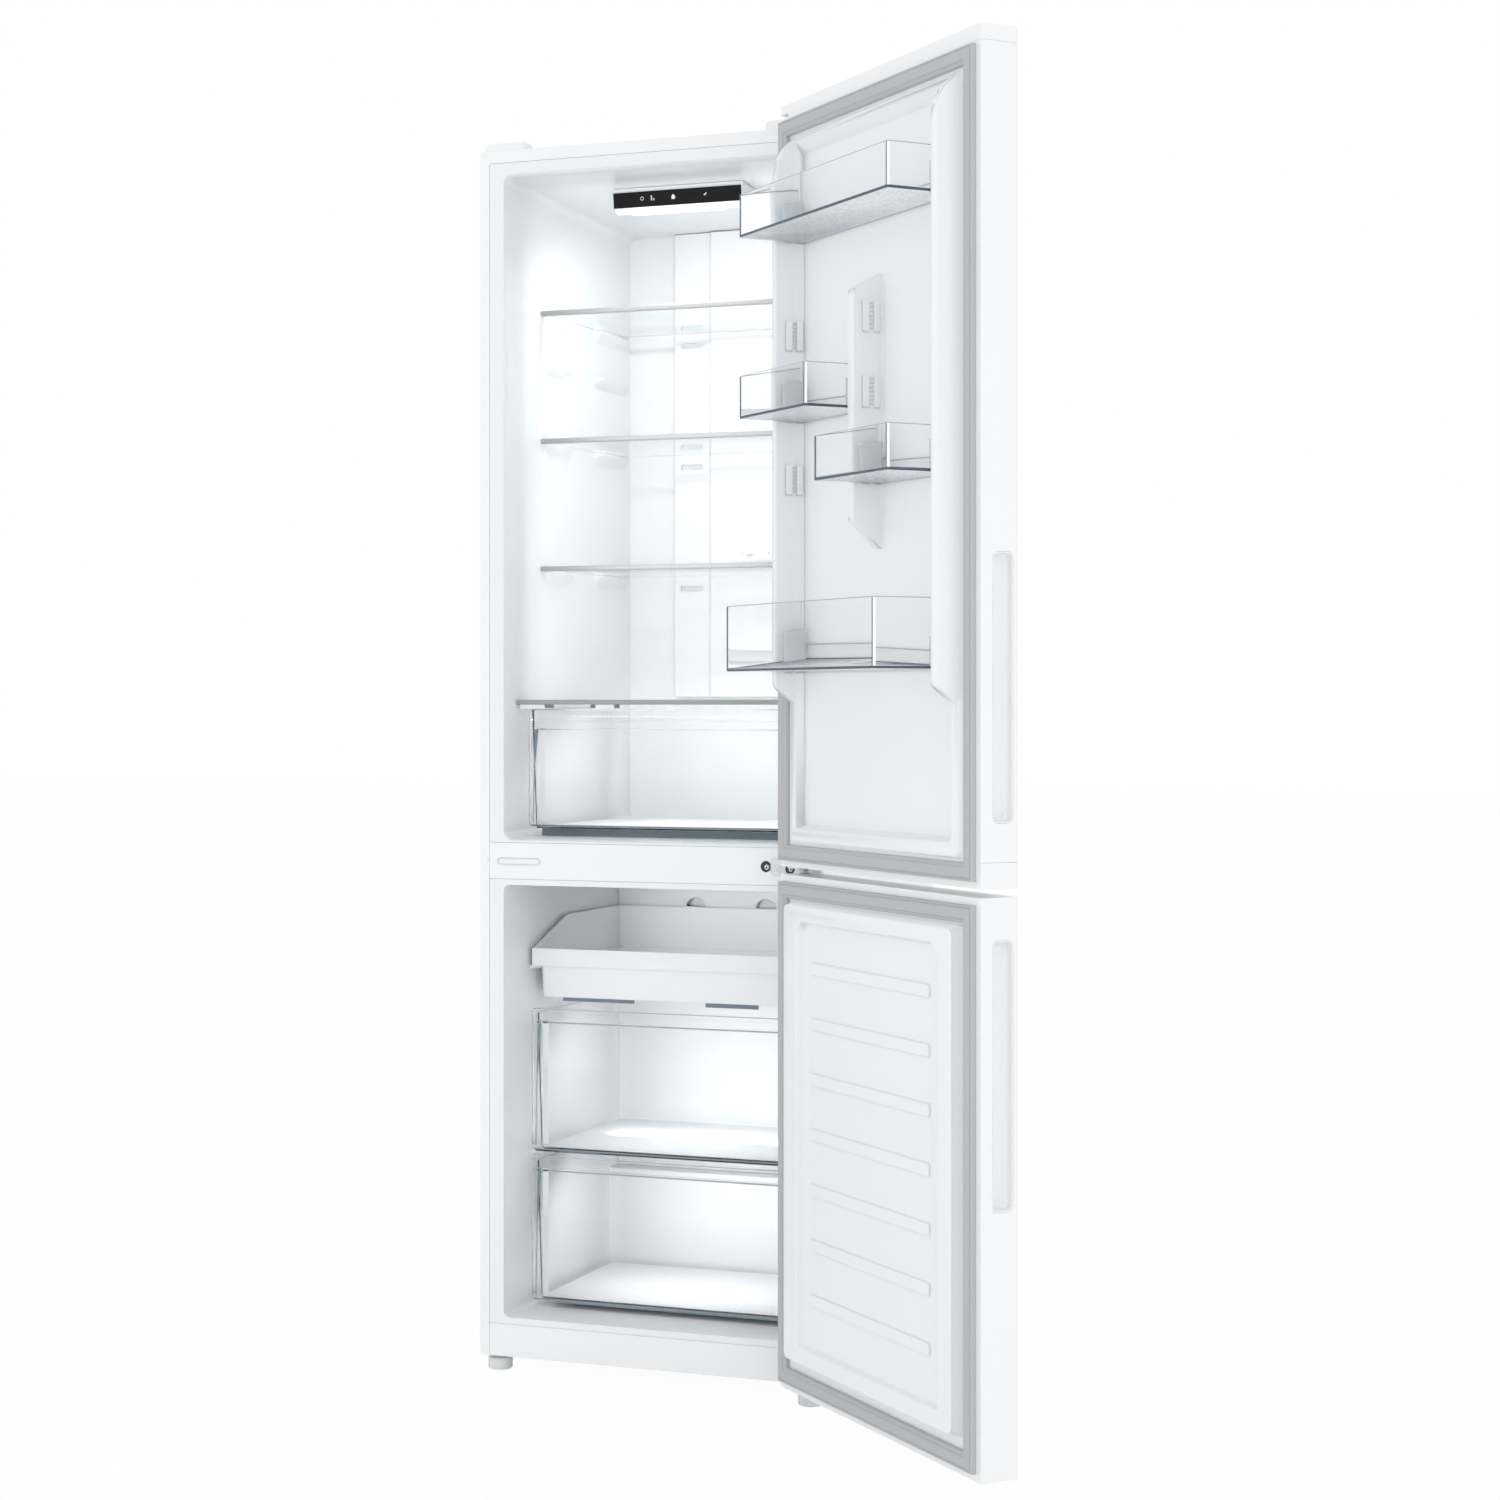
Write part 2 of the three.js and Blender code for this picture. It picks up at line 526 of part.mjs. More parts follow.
function rearRollers() {
  const rod = discX(AXLE_Y, ROLLER_RADIUS, AXLE_RADIUS, ROLLER_INSET - 22, RIGHT(ROLLER_INSET - 22), 3);
  const half = ROLLER_WIDTH / 2;
  const rollers = mirror((x) => {
    const c = x(ROLLER_INSET);
    const wheel = discX(AXLE_Y, ROLLER_RADIUS, ROLLER_RADIUS, c - half, c + half, 12);
    const dish = (a, b) => cut(
      discX(AXLE_Y, ROLLER_RADIUS, ROLLER_RADIUS - 3, a, b), discX(AXLE_Y, ROLLER_RADIUS, 6, a - 1, b + 1));
    return cut(wheel, dish(c - half - 1, c - half + 3), dish(c + half - 3, c + half + 1));
  });
  return join(rod, rollers);
}

// ---------------------------------------------------------------- compressor and its lines

const PUMP = { x: 330, y: DEPTH - 81, radius: 72, top: 214 };
const MOUNT_TOP = TRAY_Z + 15.5;
const PUMP_BOLTS = [[-82, -50], [82, -50], [82, 50], [-82, 50]];

function spin(profile, x, y, segments) {
  const geometry = new THREE.LatheGeometry(profile.map(([r, z]) => new THREE.Vector2(r, z)), segments);
  geometry.rotateX(Math.PI / 2);
  return toSolid(geometry.translate(x, y, 0));
}

function compressor() {
  const { x, y, radius: r, top } = PUMP;
  const dome = spin(
    [[0, MOUNT_TOP + 3], [r - 18, MOUNT_TOP + 3], [r - 2, MOUNT_TOP + 20], [r, MOUNT_TOP + 62],
      [r + 2, MOUNT_TOP + 64], [r + 2, MOUNT_TOP + 70], [r - 1, MOUNT_TOP + 73], [r - 4, top - 38],
      [r - 20, top - 12], [r - 44, top], [0, top]], x, y, 24);
  const plate = prismZ(roundRect(x - 95, y - 63, x + 95, y + 63, 14), MOUNT_TOP + FIT, MOUNT_TOP + 4);
  const holes = PUMP_BOLTS.map(([dx, dy]) => discZ(x + dx, y + dy, 5.8, 0, MOUNT_TOP + 9));
  const terminals = prismZ(roundRect(x + r - 12, y - 26, x + r + 26, y + 26, 5), MOUNT_TOP + 30, top - 50);
  return join(cut(plate, holes), dome, terminals);
}

function compressorMount([dx, dy]) {
  const base = TRAY_Z + 1.5 + FIT;
  return spin(
    [[0, base], [12, base], [12, base + 4], [9, base + 7], [12, MOUNT_TOP - 3], [12, MOUNT_TOP],
      [5.2, MOUNT_TOP], [5.2, MOUNT_TOP + 8], [0, MOUNT_TOP + 8]], PUMP.x + dx, PUMP.y + dy, 10);
}

function tube(points, r, steps) {
  const path = new THREE.CatmullRomCurve3(points.map((p) => new THREE.Vector3(...p)), false, 'chordal');
  return toSolid(new THREE.ExtrudeGeometry(circle(0, 0, r), {
    steps, extrudePath: path, bevelEnabled: false, curveSegments: 4 }));
}

function refrigerantTubes() {
  const roof = MACHINE_TOP - STEEL - 0.2 - FIT;
  const line = (dy, reach, z) => {
    const y = PUMP.y + dy;
    const start = PUMP.x - Math.sqrt(PUMP.radius ** 2 - dy ** 2) - FIT;
    const end = start - reach;
    return [[start, y, z], [start - 8, y, z], [end + 6, y, z + 3], [end, y, z + 12],
      [end, y, z + 40], [end, y, roof - 20], [end, y, roof]];
  };
  const suction = line(-18, 30, MOUNT_TOP + 40);
  const discharge = line(20, 62, MOUNT_TOP + 36);
  const [dx, dy] = discharge[4];
  const [low, high] = [MOUNT_TOP + 84, MOUNT_TOP + 154];
  const drier = spin(
    [[0, low], [4, low], [10, low + 8], [10, high - 8], [4, high], [0, high]], dx, dy, 12);
  // the capillary leaves the drier and is soldered along the suction line
  const [sx, sy] = suction[4];
  const bend = high + 8;
  const capillary = tube(
    [[dx + 5, dy, high - 6], [dx + 8, dy, bend], [sx - 8, sy + 6, bend], [sx - 3, sy, bend - 16],
      [sx - 3, sy, low]], 1.6, 16);
  return join(tube(suction, 4, 18), tube(discharge, 3, 18), drier, capillary);
}

function dripTray() {
  const { x, y, top } = PUMP;
  const z = top + FIT;
  const [x0, x1, y0, y1] = [x - 70, x + 92, y - 62, y + 60];
  const outer = loft([ringXY(z, x0 + 5, y0 + 5, x1 - 5, y1 - 5, 10), ringXY(z + 24, x0, y0, x1, y1, 12)]);
  const inner = loft([
    ringXY(z + 2, x0 + 7, y0 + 7, x1 - 7, y1 - 7, 9), ringXY(z + 25, x0 + 2, y0 + 2, x1 - 2, y1 - 2, 10)]);
  return cut(outer, inner);
}

// ---------------------------------------------------------------- hinges, feet

function topHinge() {
  const z = CABINET_TOP + FIT;
  const plate = prismZ(roundRect(RIGHT(95), 8, RIGHT(4), 62, 6), z, z + BRACKET_PLATE);
  const arm = prismZ(capsule(HINGE_X - 3, 16, HINGE_X, HINGE_Y, HINGE_ARM), z, z + BRACKET_PLATE);
  const pin = discZ(HINGE_X, HINGE_Y, PIN_RADIUS, z - 22, z + 1, 4);
  return join(plate, arm, pin);
}

function topHingeCover() {
  const z = CABINET_TOP + FIT;
  const lid = loft([
    ringXY(z, RIGHT(101), 3, RIGHT(1), 68, 6), ringXY(z + 10, RIGHT(101), 3, RIGHT(1), 68, 6),
    ringXY(z + 15.5, RIGHT(98), 6, RIGHT(4), 65, 6)]);
  const hollow = block(RIGHT(97), RIGHT(3), 6, 64, z - 1, z + BRACKET_PLATE + FIT);
  const doorway = block(HINGE_X - 15, HINGE_X + 12, 0, 8, z - 1, z + BRACKET_PLATE + FIT);
  return cut(lid, hollow, doorway);
}

function hingeSeatCover() {
  const z = CABINET_TOP + FIT;
  return loft([
    ringXY(z, 6, 3, 80, 42, 6), ringXY(z + 8, 6, 3, 80, 42, 6), ringXY(z + 13, 9, 6, 77, 39, 6)]);
}

const MIDDLE_HINGE_Z = (UPPER_DOOR_BOTTOM + LOWER_DOOR_TOP) / 2;

function middleHinge() {
  const half = BRACKET_PLATE / 2;
  const z = MIDDLE_HINGE_Z;
  const plate = prismY(roundRect(RIGHT(88), z - 13, RIGHT(6), z + 13, 4), -BRACKET_PLATE - FIT, -FIT);
  const tongue = join(
    prismZ(capsule(HINGE_X, HINGE_Y, HINGE_X - 4, -14, 10), z - half, z + half),
    prismZ(polygon([[RIGHT(60), -BRACKET_PLATE], [RIGHT(30), -18], [HINGE_X + 6, -18],
      [HINGE_X + 6, -BRACKET_PLATE]]), z - half, z + half));
  const pin = discZ(HINGE_X, HINGE_Y, PIN_RADIUS, z - 22, z + 22, 4);
  const collar = discZ(HINGE_X, HINGE_Y, 7.5, LOWER_DOOR_TOP + FIT, UPPER_DOOR_BOTTOM - FIT, 4);
  return join(plate, tongue, pin, collar);
}

function bottomHinge() {
  const z1 = CABINET_BOTTOM - FIT;
  const z0 = z1 - BRACKET_PLATE;
  const footX = RIGHT(RIGHT_FOOT_INSET);
  const plate = prismZ(polygon([
    [RIGHT(75), 62], [RIGHT(75), 8], [RIGHT(40), -22], [HINGE_X - 11, HINGE_Y], [HINGE_X + 9, HINGE_Y],
    [RIGHT(2), -20], [RIGHT(2), 62]]), z0, z1);
  const nose = discZ(HINGE_X, HINGE_Y, 11, z0, z1);
  const pin = discZ(HINGE_X, HINGE_Y, PIN_RADIUS, z0, LOWER_DOOR_BOTTOM + 16, 4);
  const collar = discZ(HINGE_X, HINGE_Y, 8, z0, LOWER_DOOR_BOTTOM - FIT, 4);
  const hole = discZ(footX, -RIGHT_FOOT_AHEAD, STEM_RADIUS + 0.4, z0 - 1, z1 + 1);
  return cut(join(plate, nose, pin, collar), hole);
}

function foot(stemTop) {
  const r = FOOT_RADIUS;
  const collar = FOOT_HEIGHT + FOOT_COLLAR;
  const body = spin(
    [[0, 0], [r - 1.5, 0], [r, 2], [r, FOOT_HEIGHT - 2], [r - 3, FOOT_HEIGHT], [9, FOOT_HEIGHT],
      [8, collar], [STEM_RADIUS, collar], [STEM_RADIUS, stemTop], [0, stemTop]], 0, 0, 20);
  const notches = Array.from({ length: 10 }, (_, k) => {
    const a = (k + 0.5) * (Math.PI / 5);
    return discZ(r * 1.06 * Math.cos(a), r * 1.06 * Math.sin(a), 2.6, -1, FOOT_HEIGHT + 1, 2);
  });
  return cut(body, notches);
}

// ---------------------------------------------------------------- fridge interior

const HOUSING_FRONT = 124;
const HOUSING_REAR = 235;
const HOUSING_HALF = 115;
const GLASS_HALF = 114;
const LAMP_HALF = 84;

function controlHousing() {
  const top = (y) => fridgeCeiling(y) - FIT;
  const z = fridgeCeiling(HOUSING_FRONT);
  return prismX(polygon([
    [HOUSING_FRONT, top(HOUSING_FRONT)], [HOUSING_FRONT, z - 7], [HOUSING_FRONT + 4, z - 34],
    [HOUSING_FRONT + 16, z - 42], [HOUSING_FRONT + 76, z - 30], [HOUSING_REAR, top(HOUSING_REAR)]]),
  MID - HOUSING_HALF, MID + HOUSING_HALF);
}

function controlGlass() {
  const z = fridgeCeiling(HOUSING_FRONT);
  const y = HOUSING_FRONT - FIT;
  return prismX(polygon([[y - 2, z - 8], [y + 1.4, z - 33], [y + 3.4, z - 33], [y, z - 8]]),
    MID - GLASS_HALF, MID + GLASS_HALF);
}

function lampLens() {
  const z = fridgeCeiling(HOUSING_FRONT);
  const y = HOUSING_FRONT;
  return prismX(polygon([
    [y + 3.4, z - 35.8], [y + 2.9, z - 37.5], [y + 14, z - 44.6], [y + 15.4, z - 42.8]]),
  MID - LAMP_HALF, MID + LAMP_HALF);
}

function airDuctPanel() {
  const back = FRIDGE_BACK - FIT;
  const half = [156, 152, 84, 78];
  const step = [0, 16.7, 18.7, 26.7];
  const left = half.map((h, k) => [MID - h, back - step[k]]);
  const right = half.map((h, k) => [MID + h, back - step[k]]).reverse();
  const body = prismZ(polygon([...left, ...right]), COVER_TOP + 7, fridgeCeiling(FRIDGE_BACK) - FIT);
  const slots = [-1, 1].flatMap((side) => [0.24, 0.5, 0.76].map((share) => {
    const z = THREE.MathUtils.lerp(COVER_TOP, fridgeCeiling(FRIDGE_BACK), share);
    const x = MID + side * 118;
    return prismY(roundRect(x - 22, z - 5, x + 22, z + 5, 4), back - 24, back - 10);
  }));
  return cut(body, slots);
}

function shelfGlass(top) {
  const x = fridgeWall(SHELF_REAR) + 1.5;
  return block(x, RIGHT(x), SHELF_FRONT + 6, SHELF_REAR, top - GLASS, top);
}

// front trim, a channel that grips the glass; its nose is rounded
function glassTrim(x, front, depth, top) {
  const [z0, z1] = [top + 2 - TRIM_HEIGHT, top + 2];
  const nose = prismX(roundRect(front, z0, front + depth, z1, [3, 0, 0, 3]), x, RIGHT(x), 1);
  const slot = block(x - 1, RIGHT(x) + 1, front + 6 - FIT, front + depth + 1, top - GLASS - FIT, top + FIT);
  return cut(nose, slot);
}
const shelfTrim = (top) =>
  glassTrim(fridgeWall(SHELF_FRONT + TRIM_DEPTH) + 0.6, SHELF_FRONT, TRIM_DEPTH, top);

function coverGlass() {
  const x = fridgeWall(CRISPER_REAR) + 2;
  return block(x, RIGHT(x), COVER_FRONT + 6, CRISPER_REAR, COVER_TOP - GLASS, COVER_TOP);
}
const coverTrim = () => glassTrim(fridgeWall(COVER_FRONT + 16) + 0.6, COVER_FRONT, 15, COVER_TOP);

function openBox({ z0, z1, x0, y0, y1, draft, r = 10, wall = DRAWER_WALL, floor = 3 }) {
  const outer = loft([
    ringXY(z0, x0 + draft, y0 + draft, RIGHT(x0 + draft), y1 - draft, r),
    ringXY(z1, x0, y0, RIGHT(x0), y1, r)]);
  const w = wall;
  const inner = loft([
    ringXY(z0 + floor, x0 + draft + w, y0 + draft + w, RIGHT(x0 + draft + w), y1 - draft - w, r - w),
    ringXY(z1 + 1, x0 + w, y0 + w, RIGHT(x0 + w), y1 - w, r - w)]);
  return [outer, inner];
}

function crisperDrawer() {
  const [outer, inner] = openBox({
    z0: CRISPER_BOTTOM, z1: CRISPER_TOP, x0: DRAWER_SIDE + 1, y0: CRISPER_FRONT + FRONT_PLATE,
    y1: CRISPER_REAR, draft: 5 });
  const plate = prismY(
    roundRect(DRAWER_SIDE, CRISPER_BOTTOM + 4, RIGHT(DRAWER_SIDE), CRISPER_TOP, 6),
    CRISPER_FRONT, CRISPER_FRONT + FRONT_PLATE + 3);
  const pull = prismX(
    roundRect(CRISPER_FRONT - 9, CRISPER_TOP - 20, CRISPER_FRONT + 2, CRISPER_TOP - 16, 1.5),
    DRAWER_SIDE + 8, RIGHT(DRAWER_SIDE + 8), 1);
  return join(cut(join(outer, plate), inner), pull);
}

function eggTray() {
  const pitch = 46;
  const [x0, y0, z0] = [RIGHT(EGG_TRAY_RIGHT), SHELF_FRONT + 18, SHELF_TOPS[2] + FIT];
  const top = z0 + 20;
  const body = prismZ(roundRect(x0, y0, x0 + 3 * pitch, y0 + 2 * pitch, 8), z0, top);
  const columns = [0.5, 1.5, 2.5].map((k) => x0 + k * pitch);
  const rows = [0.5, 1.5].map((k) => y0 + k * pitch);
  const cups = columns.flatMap((x) => rows.map((y) => spin(
    [[0, z0 + 3], [12, z0 + 3], [20, top - 4], [20.5, top + 1], [0, top + 1]], x, y, 12)));
  const scallops = [
    ...columns.map((x) => discY(x, top + 6, 15, y0 - 1, y0 + 2 * pitch + 1, 4)),
    ...rows.map((y) => discX(y, top + 6, 15, x0 - 1, x0 + 3 * pitch + 1, 4))];
  return cut(body, cups, scallops);
}

// ---------------------------------------------------------------- freezer interior

function topDrawer() {
  const { bottom, runner, front, rim } = TOP_DRAWER;
  const [y0, y1] = [DRAWER_FRONT, BACK_PANEL - 5];
  const [lower, lowerInside] = openBox({
    z0: bottom, z1: runner + 3, x0: DRAWER_SIDE + 13, y0: y0 + 5, y1: y1 - 2, draft: 2 });
  const w = DRAWER_WALL;
  const wide = (grow, z0, z1) => loft([
    ringXZ(y0 - grow, DRAWER_SIDE + 1 - grow, z0, RIGHT(DRAWER_SIDE + 1 - grow), z1, 1.5),
    ringXZ(y1 + grow, DRAWER_SIDE + 5 - grow, z0, RIGHT(DRAWER_SIDE + 5 - grow), z1, 1.5)]);
  const upper = wide(0, runner, rim);
  const upperInside = wide(-w, runner + w, rim + 9);
  const rimSlope = prismX(polygon([
    [y0 - 1, front], [y0 + 6, front], [y0 + 134, rim], [y0 + 134, rim + 2], [y0 - 1, rim + 2]]), 0, WIDTH);
  return cut(cut(join(lower, upper), lowerInside, upperInside), rimSlope);
}

function deepDrawer({ bottom, plateBottom, top, plateTop }, rear) {
  const [outer, inner] = openBox({
    z0: bottom, z1: top, x0: DRAWER_SIDE + 6, y0: DRAWER_FRONT + FRONT_PLATE, y1: rear, draft: 5 });
  const plate = prismY(
    roundRect(DRAWER_SIDE + 0.5, plateBottom, RIGHT(DRAWER_SIDE + 0.5), plateTop, 6),
    DRAWER_FRONT, DRAWER_FRONT + FRONT_PLATE + 2);
  const pull = prismX(
    roundRect(DRAWER_FRONT - 9, plateTop - 24, DRAWER_FRONT + 2, plateTop - 20, 1.5),
    DRAWER_SIDE + 14, RIGHT(DRAWER_SIDE + 14), 1);
  return join(cut(join(outer, plate), inner), pull);
}

function freezerGlass() {
  const x = freezerWall(HUMP_FRONT) + 2;
  const top = MIDDLE_DRAWER.bottom - FIT;
  return block(x, RIGHT(x), DRAWER_FRONT + 9, HUMP_FRONT - 2, top - GLASS, top);
}

const FAN_Z = 640;
const OUTLETS = [-91, 41, 173].map((shift) => MID + shift);
const OUTLET_Z = TOP_DRAWER.rim + 1;
const OUTLET = { half: 19, rise: 16, hood: 14 };

function outletArch(x, grow) {
  const arch = new THREE.Shape();
  const half = OUTLET.half + grow;
  arch.moveTo(x - half, OUTLET_Z - grow);
  arch.lineTo(x + half, OUTLET_Z - grow);
  arch.absellipse(x, OUTLET_Z, half, OUTLET.rise + grow, 0, Math.PI, false, 0);
  return arch;
}

function freezerBackPanel() {
  const x = freezerWall(BACK_PANEL + PANEL_THICK) + 0.5;
  const y1 = BACK_PANEL + PANEL_THICK;
  const outline = roundRect(x, HUMP_TOP + FIT, RIGHT(x), freezerCeiling(y1) - FIT, [0, 0, 14, 14]);
  const sheet = prismY(outline, BACK_PANEL, y1);
  const deep = y1 + OUTLET.hood;
  const hoods = OUTLETS.map((c) => prismY(outletArch(c, 2), y1 - 1, deep, 4));
  const mouths = OUTLETS.flatMap((c) => [
    prismY(outletArch(c, 0), BACK_PANEL - 1, deep - 2, 4),
    block(c - OUTLET.half + 2, c + OUTLET.half - 2, y1 + 2, deep - 2, OUTLET_Z - 4, OUTLET_Z + 1)]);
  const boss = discY(MID, FAN_Z, 15, y1 - 1, y1 + 10);
  const shaft = discY(MID, FAN_Z, 3, y1 + 9, y1 + 30, 3);
  return join(cut(join(sheet, hoods), mouths), boss, shaft);
}

function evaporator() {
  const [y0, y1] = [FREEZER_BACK - FIT - EVAPORATOR.depth, FREEZER_BACK - FIT];
  const [x0, x1] = [MID - EVAPORATOR.half, MID + EVAPORATOR.half];
  const [z0, z1] = [HUMP_TOP + EVAPORATOR.lift, HUMP_TOP + EVAPORATOR.lift + EVAPORATOR.height];
  const core = block(x0 + 8, x1 - 8, y0 + 6, y1 - 6, z0 + 6, z1 - 6);
  const fins = Array.from({ length: EVAPORATOR.fins }, (_, k) => {
    const x = x0 + 12 + (k * (x1 - x0 - 26)) / (EVAPORATOR.fins - 1);
    return block(x, x + 2, y0, y1, z0, z1);
  });
  const bends = [0, 1, 2, 3].flatMap((k) => [x0, x1 - 10].map((x) =>
    prismX(capsule((y0 + y1) / 2, z0 + 35 + k * 60, (y0 + y1) / 2, z0 + 60 + k * 60, 5), x, x + 10)));
  return join(core, fins, bends);
}

function evaporatorFan() {
  const y0 = BACK_PANEL + PANEL_THICK + 11;
  const hub = cut(discY(MID, FAN_Z, 16, y0, y0 + 16), discY(MID, FAN_Z, 3.4, y0 - 1, y0 + 17));
  const blades = Array.from({ length: 5 }, (_, k) => {
    const a = (k * 2 * Math.PI) / 5;
    const at = (r, turn) => [MID + r * Math.cos(a + turn), FAN_Z + r * Math.sin(a + turn)];
    const rim = [[14, -0.35], [30, -0.42], [48, -0.5], [50, 0.32], [34, 0.3], [14, 0.35]];
    const ring = (y, twist) => rim.map(([r, t]) => {
      const [x, z] = at(r, t);
      return [x, y + (t > 0 ? twist : 0), z];
    });
    return loft([ring(y0 + 2, 9), ring(y0 + 4.2, 9)]);
  });
  return join(hub, blades);
}

// ---------------------------------------------------------------- doors

const doorOutline = () => roundRect(
  0, DOOR_FRONT, WIDTH, DOOR_INNER, [DOOR_EDGE_RADIUS, DOOR_EDGE_RADIUS, 1.5, 1.5]);
const pinHole = (z0, z1) => discZ(HINGE_X, HINGE_Y, PIN_RADIUS + PIN_PLAY, z0, z1, 4);
const HOLE_DEPTH = 26;

function gripPocket(bottom, grow, depth) {
  const y0 = DOOR_FRONT + GRIP.inset;
  return prismX(
    roundRect(y0 - grow, bottom - grow, y0 + GRIP.width + grow, bottom + GRIP.length + grow, 9 + grow),
    -1, depth, 3);
}

function doorGrip(bottom) {
  const cup = cut(gripPocket(bottom, -FIT, GRIP.depth), block(-2, 0, DOOR_FRONT, 0, 0, DOOR_TOP));
  const y0 = DOOR_FRONT + GRIP.inset + 2;
  const scoop = loft([
    [-1, 0, 0], [GRIP.depth - 7, 0, 1.5], [GRIP.depth - 2.5, 5, 6]].map(([x, dy, dz]) =>
    ringPoints(y0 + dy, bottom + 2 + dz, y0 + GRIP.width - 4, bottom + GRIP.length - 2 - dz, 6.5)
      .map(([y, z]) => [x, y, z])));
  return cut(cup, scoop);
}

const UPPER_LINING = { bottom: UPPER_DOOR_BOTTOM + 9, top: DOOR_TOP - 26 };
const LOWER_LINING = { bottom: LOWER_DOOR_BOTTOM + 11, top: LOWER_DOOR_TOP - 9.5 };
const FIELD = { z0: UPPER_DOOR_BOTTOM + 61, z1: DOOR_TOP - 68 };

// the hollow that the upper lining sinks into the door
function fieldPocket(grow, front) {
  const g = grow;
  const base = -DOOR_BASE - g;
  return loft([
    ringXZ(base, DYKE_X + 2 - g, FIELD.z0 + 6 - g, RIGHT(DYKE_X + 2 - g), FIELD.z1 - 17 + g, 8 + g),
    ringXZ(-PLATEAU, DYKE_X - g, FIELD.z0 - g, RIGHT(DYKE_X - g), FIELD.z1 + g, 8 + g),
    ringXZ(front, DYKE_X - g, FIELD.z0 - g, RIGHT(DYKE_X - g), FIELD.z1 + g, 8 + g)]);
}

// sheet steel folded round the front and the sides, with a narrow return all round behind
function doorSkin(z0, z1, inside0, inside1, gripBottom) {
  const space = roundRect(
    STEEL, DOOR_FRONT + STEEL, RIGHT(STEEL), DOOR_INNER - STEEL, [DOOR_EDGE_RADIUS, DOOR_EDGE_RADIUS, 0, 0]);
  const rear = block(
    DOOR_RETURN, RIGHT(DOOR_RETURN), DOOR_INNER - STEEL - 1, DOOR_INNER + 1,
    z0 + DOOR_RETURN, z1 - DOOR_RETURN);
  return cut(
    prismZ(doorOutline(), z0, z1), prismZ(space, inside0, inside1), rear,
    gripPocket(gripBottom, 0, GRIP.depth));
}

function doorFoam(z0, z1, gripBottom) {
  const g = STEEL + FIT;
  const bulk = prismZ(roundRect(
    g, DOOR_FRONT + g, RIGHT(g), DOOR_INNER - g, [DOOR_EDGE_RADIUS, DOOR_EDGE_RADIUS, 0, 0]), z0, z1);
  const step = block(
    DOOR_RETURN + FIT, RIGHT(DOOR_RETURN) - FIT, DOOR_INNER - g - 1, DOOR_INNER,
    z0 + DOOR_RETURN + FIT, z1 - DOOR_RETURN - FIT);
  return cut(join(bulk, step), gripPocket(gripBottom, FIT, GRIP.depth + FIT));
}

const UPPER_SKIN = [UPPER_DOOR_BOTTOM + BOTTOM_CAP + FIT, DOOR_TOP - TOP_CAP];

function upperDoorShell() {
  const [z0, z1] = UPPER_SKIN;
  return doorSkin(z0, z1, z0 - 1, z1 + 1, UPPER_GRIP_BOTTOM);
}

function upperDoorFoam() {
  const [z0, z1] = UPPER_SKIN;
  return cut(
    doorFoam(z0, z1, UPPER_GRIP_BOTTOM), fieldPocket(LINER + FIT, 2), pinHole(z1 - HOLE_DEPTH, z1 + 1));
}

// the hinge arm enters from the rear and, as the door opens, sweeps round to the front corner
function upperDoorTopCap() {
  const z0 = DOOR_TOP - TOP_CAP + FIT;
  const slotTop = CABINET_TOP + BRACKET_PLATE + 3 * FIT + 1;
  const side = HINGE_ARM + 4;
  const sweep = polygon([
    [HINGE_X - side, DOOR_INNER + 1], [HINGE_X - side, HINGE_Y - 6], [HINGE_X - 5, HINGE_Y - 12],
    [HINGE_X + 2, HINGE_Y - 15], [WIDTH - 3, DOOR_FRONT - 1], [WIDTH + 1, DOOR_FRONT - 1],
    [WIDTH + 1, DOOR_INNER + 1]]);
  const slot = prismZ(sweep, CABINET_TOP - 1.2, slotTop);
  return cut(prismZ(doorOutline(), z0, DOOR_TOP), slot, pinHole(z0 - 1, slotTop));
}

function upperDoorBottomCap() {
  const z = UPPER_DOOR_BOTTOM;
  return cut(prismZ(doorOutline(), z, z + BOTTOM_CAP), pinHole(z - 1, z + HOLE_DEPTH));
}

// this one is closed by its own end walls, which the hinge pins pass through
function lowerDoorShell() {
  const [z0, z1] = [LOWER_DOOR_BOTTOM, LOWER_DOOR_TOP];
  const skin = doorSkin(z0, z1, z0 + DOOR_END_WALL, z1 - DOOR_END_WALL, LOWER_GRIP_BOTTOM);
  return cut(skin, pinHole(z0 - 1, z1 + 1));
}

function lowerDoorFoam() {
  const [z0, z1] = [LOWER_DOOR_BOTTOM + DOOR_END_WALL + FIT, LOWER_DOOR_TOP - DOOR_END_WALL - FIT];
  return cut(
    doorFoam(z0, z1, LOWER_GRIP_BOTTOM), pinHole(z0 - 1, z0 + HOLE_DEPTH), pinHole(z1 - HOLE_DEPTH, z1 + 1));
}

const liningPlate = ({ bottom, top }) => block(
  GASKET_EDGE - 1, RIGHT(GASKET_EDGE - 1), DOOR_INNER + FIT, DOOR_INNER + FIT + LINER, bottom, top);

// raised rim inside the gasket, with sloping outer sides
function rim({ bottom, top }, face, bottomExtra = 0) {
  const edge = GASKET_EDGE + GASKET_WIDTH;
  const foot = DOOR_INNER + FIT + 1;
  const lift = GASKET_WIDTH + 4;
  return loft([
    ringXZ(foot, edge + 6, bottom + lift + bottomExtra, RIGHT(edge + 6), top - lift, 8),
    ringXZ(face, edge + 13, bottom + lift + bottomExtra + 5, RIGHT(edge + 13), top - lift - 5, 10)]);
}

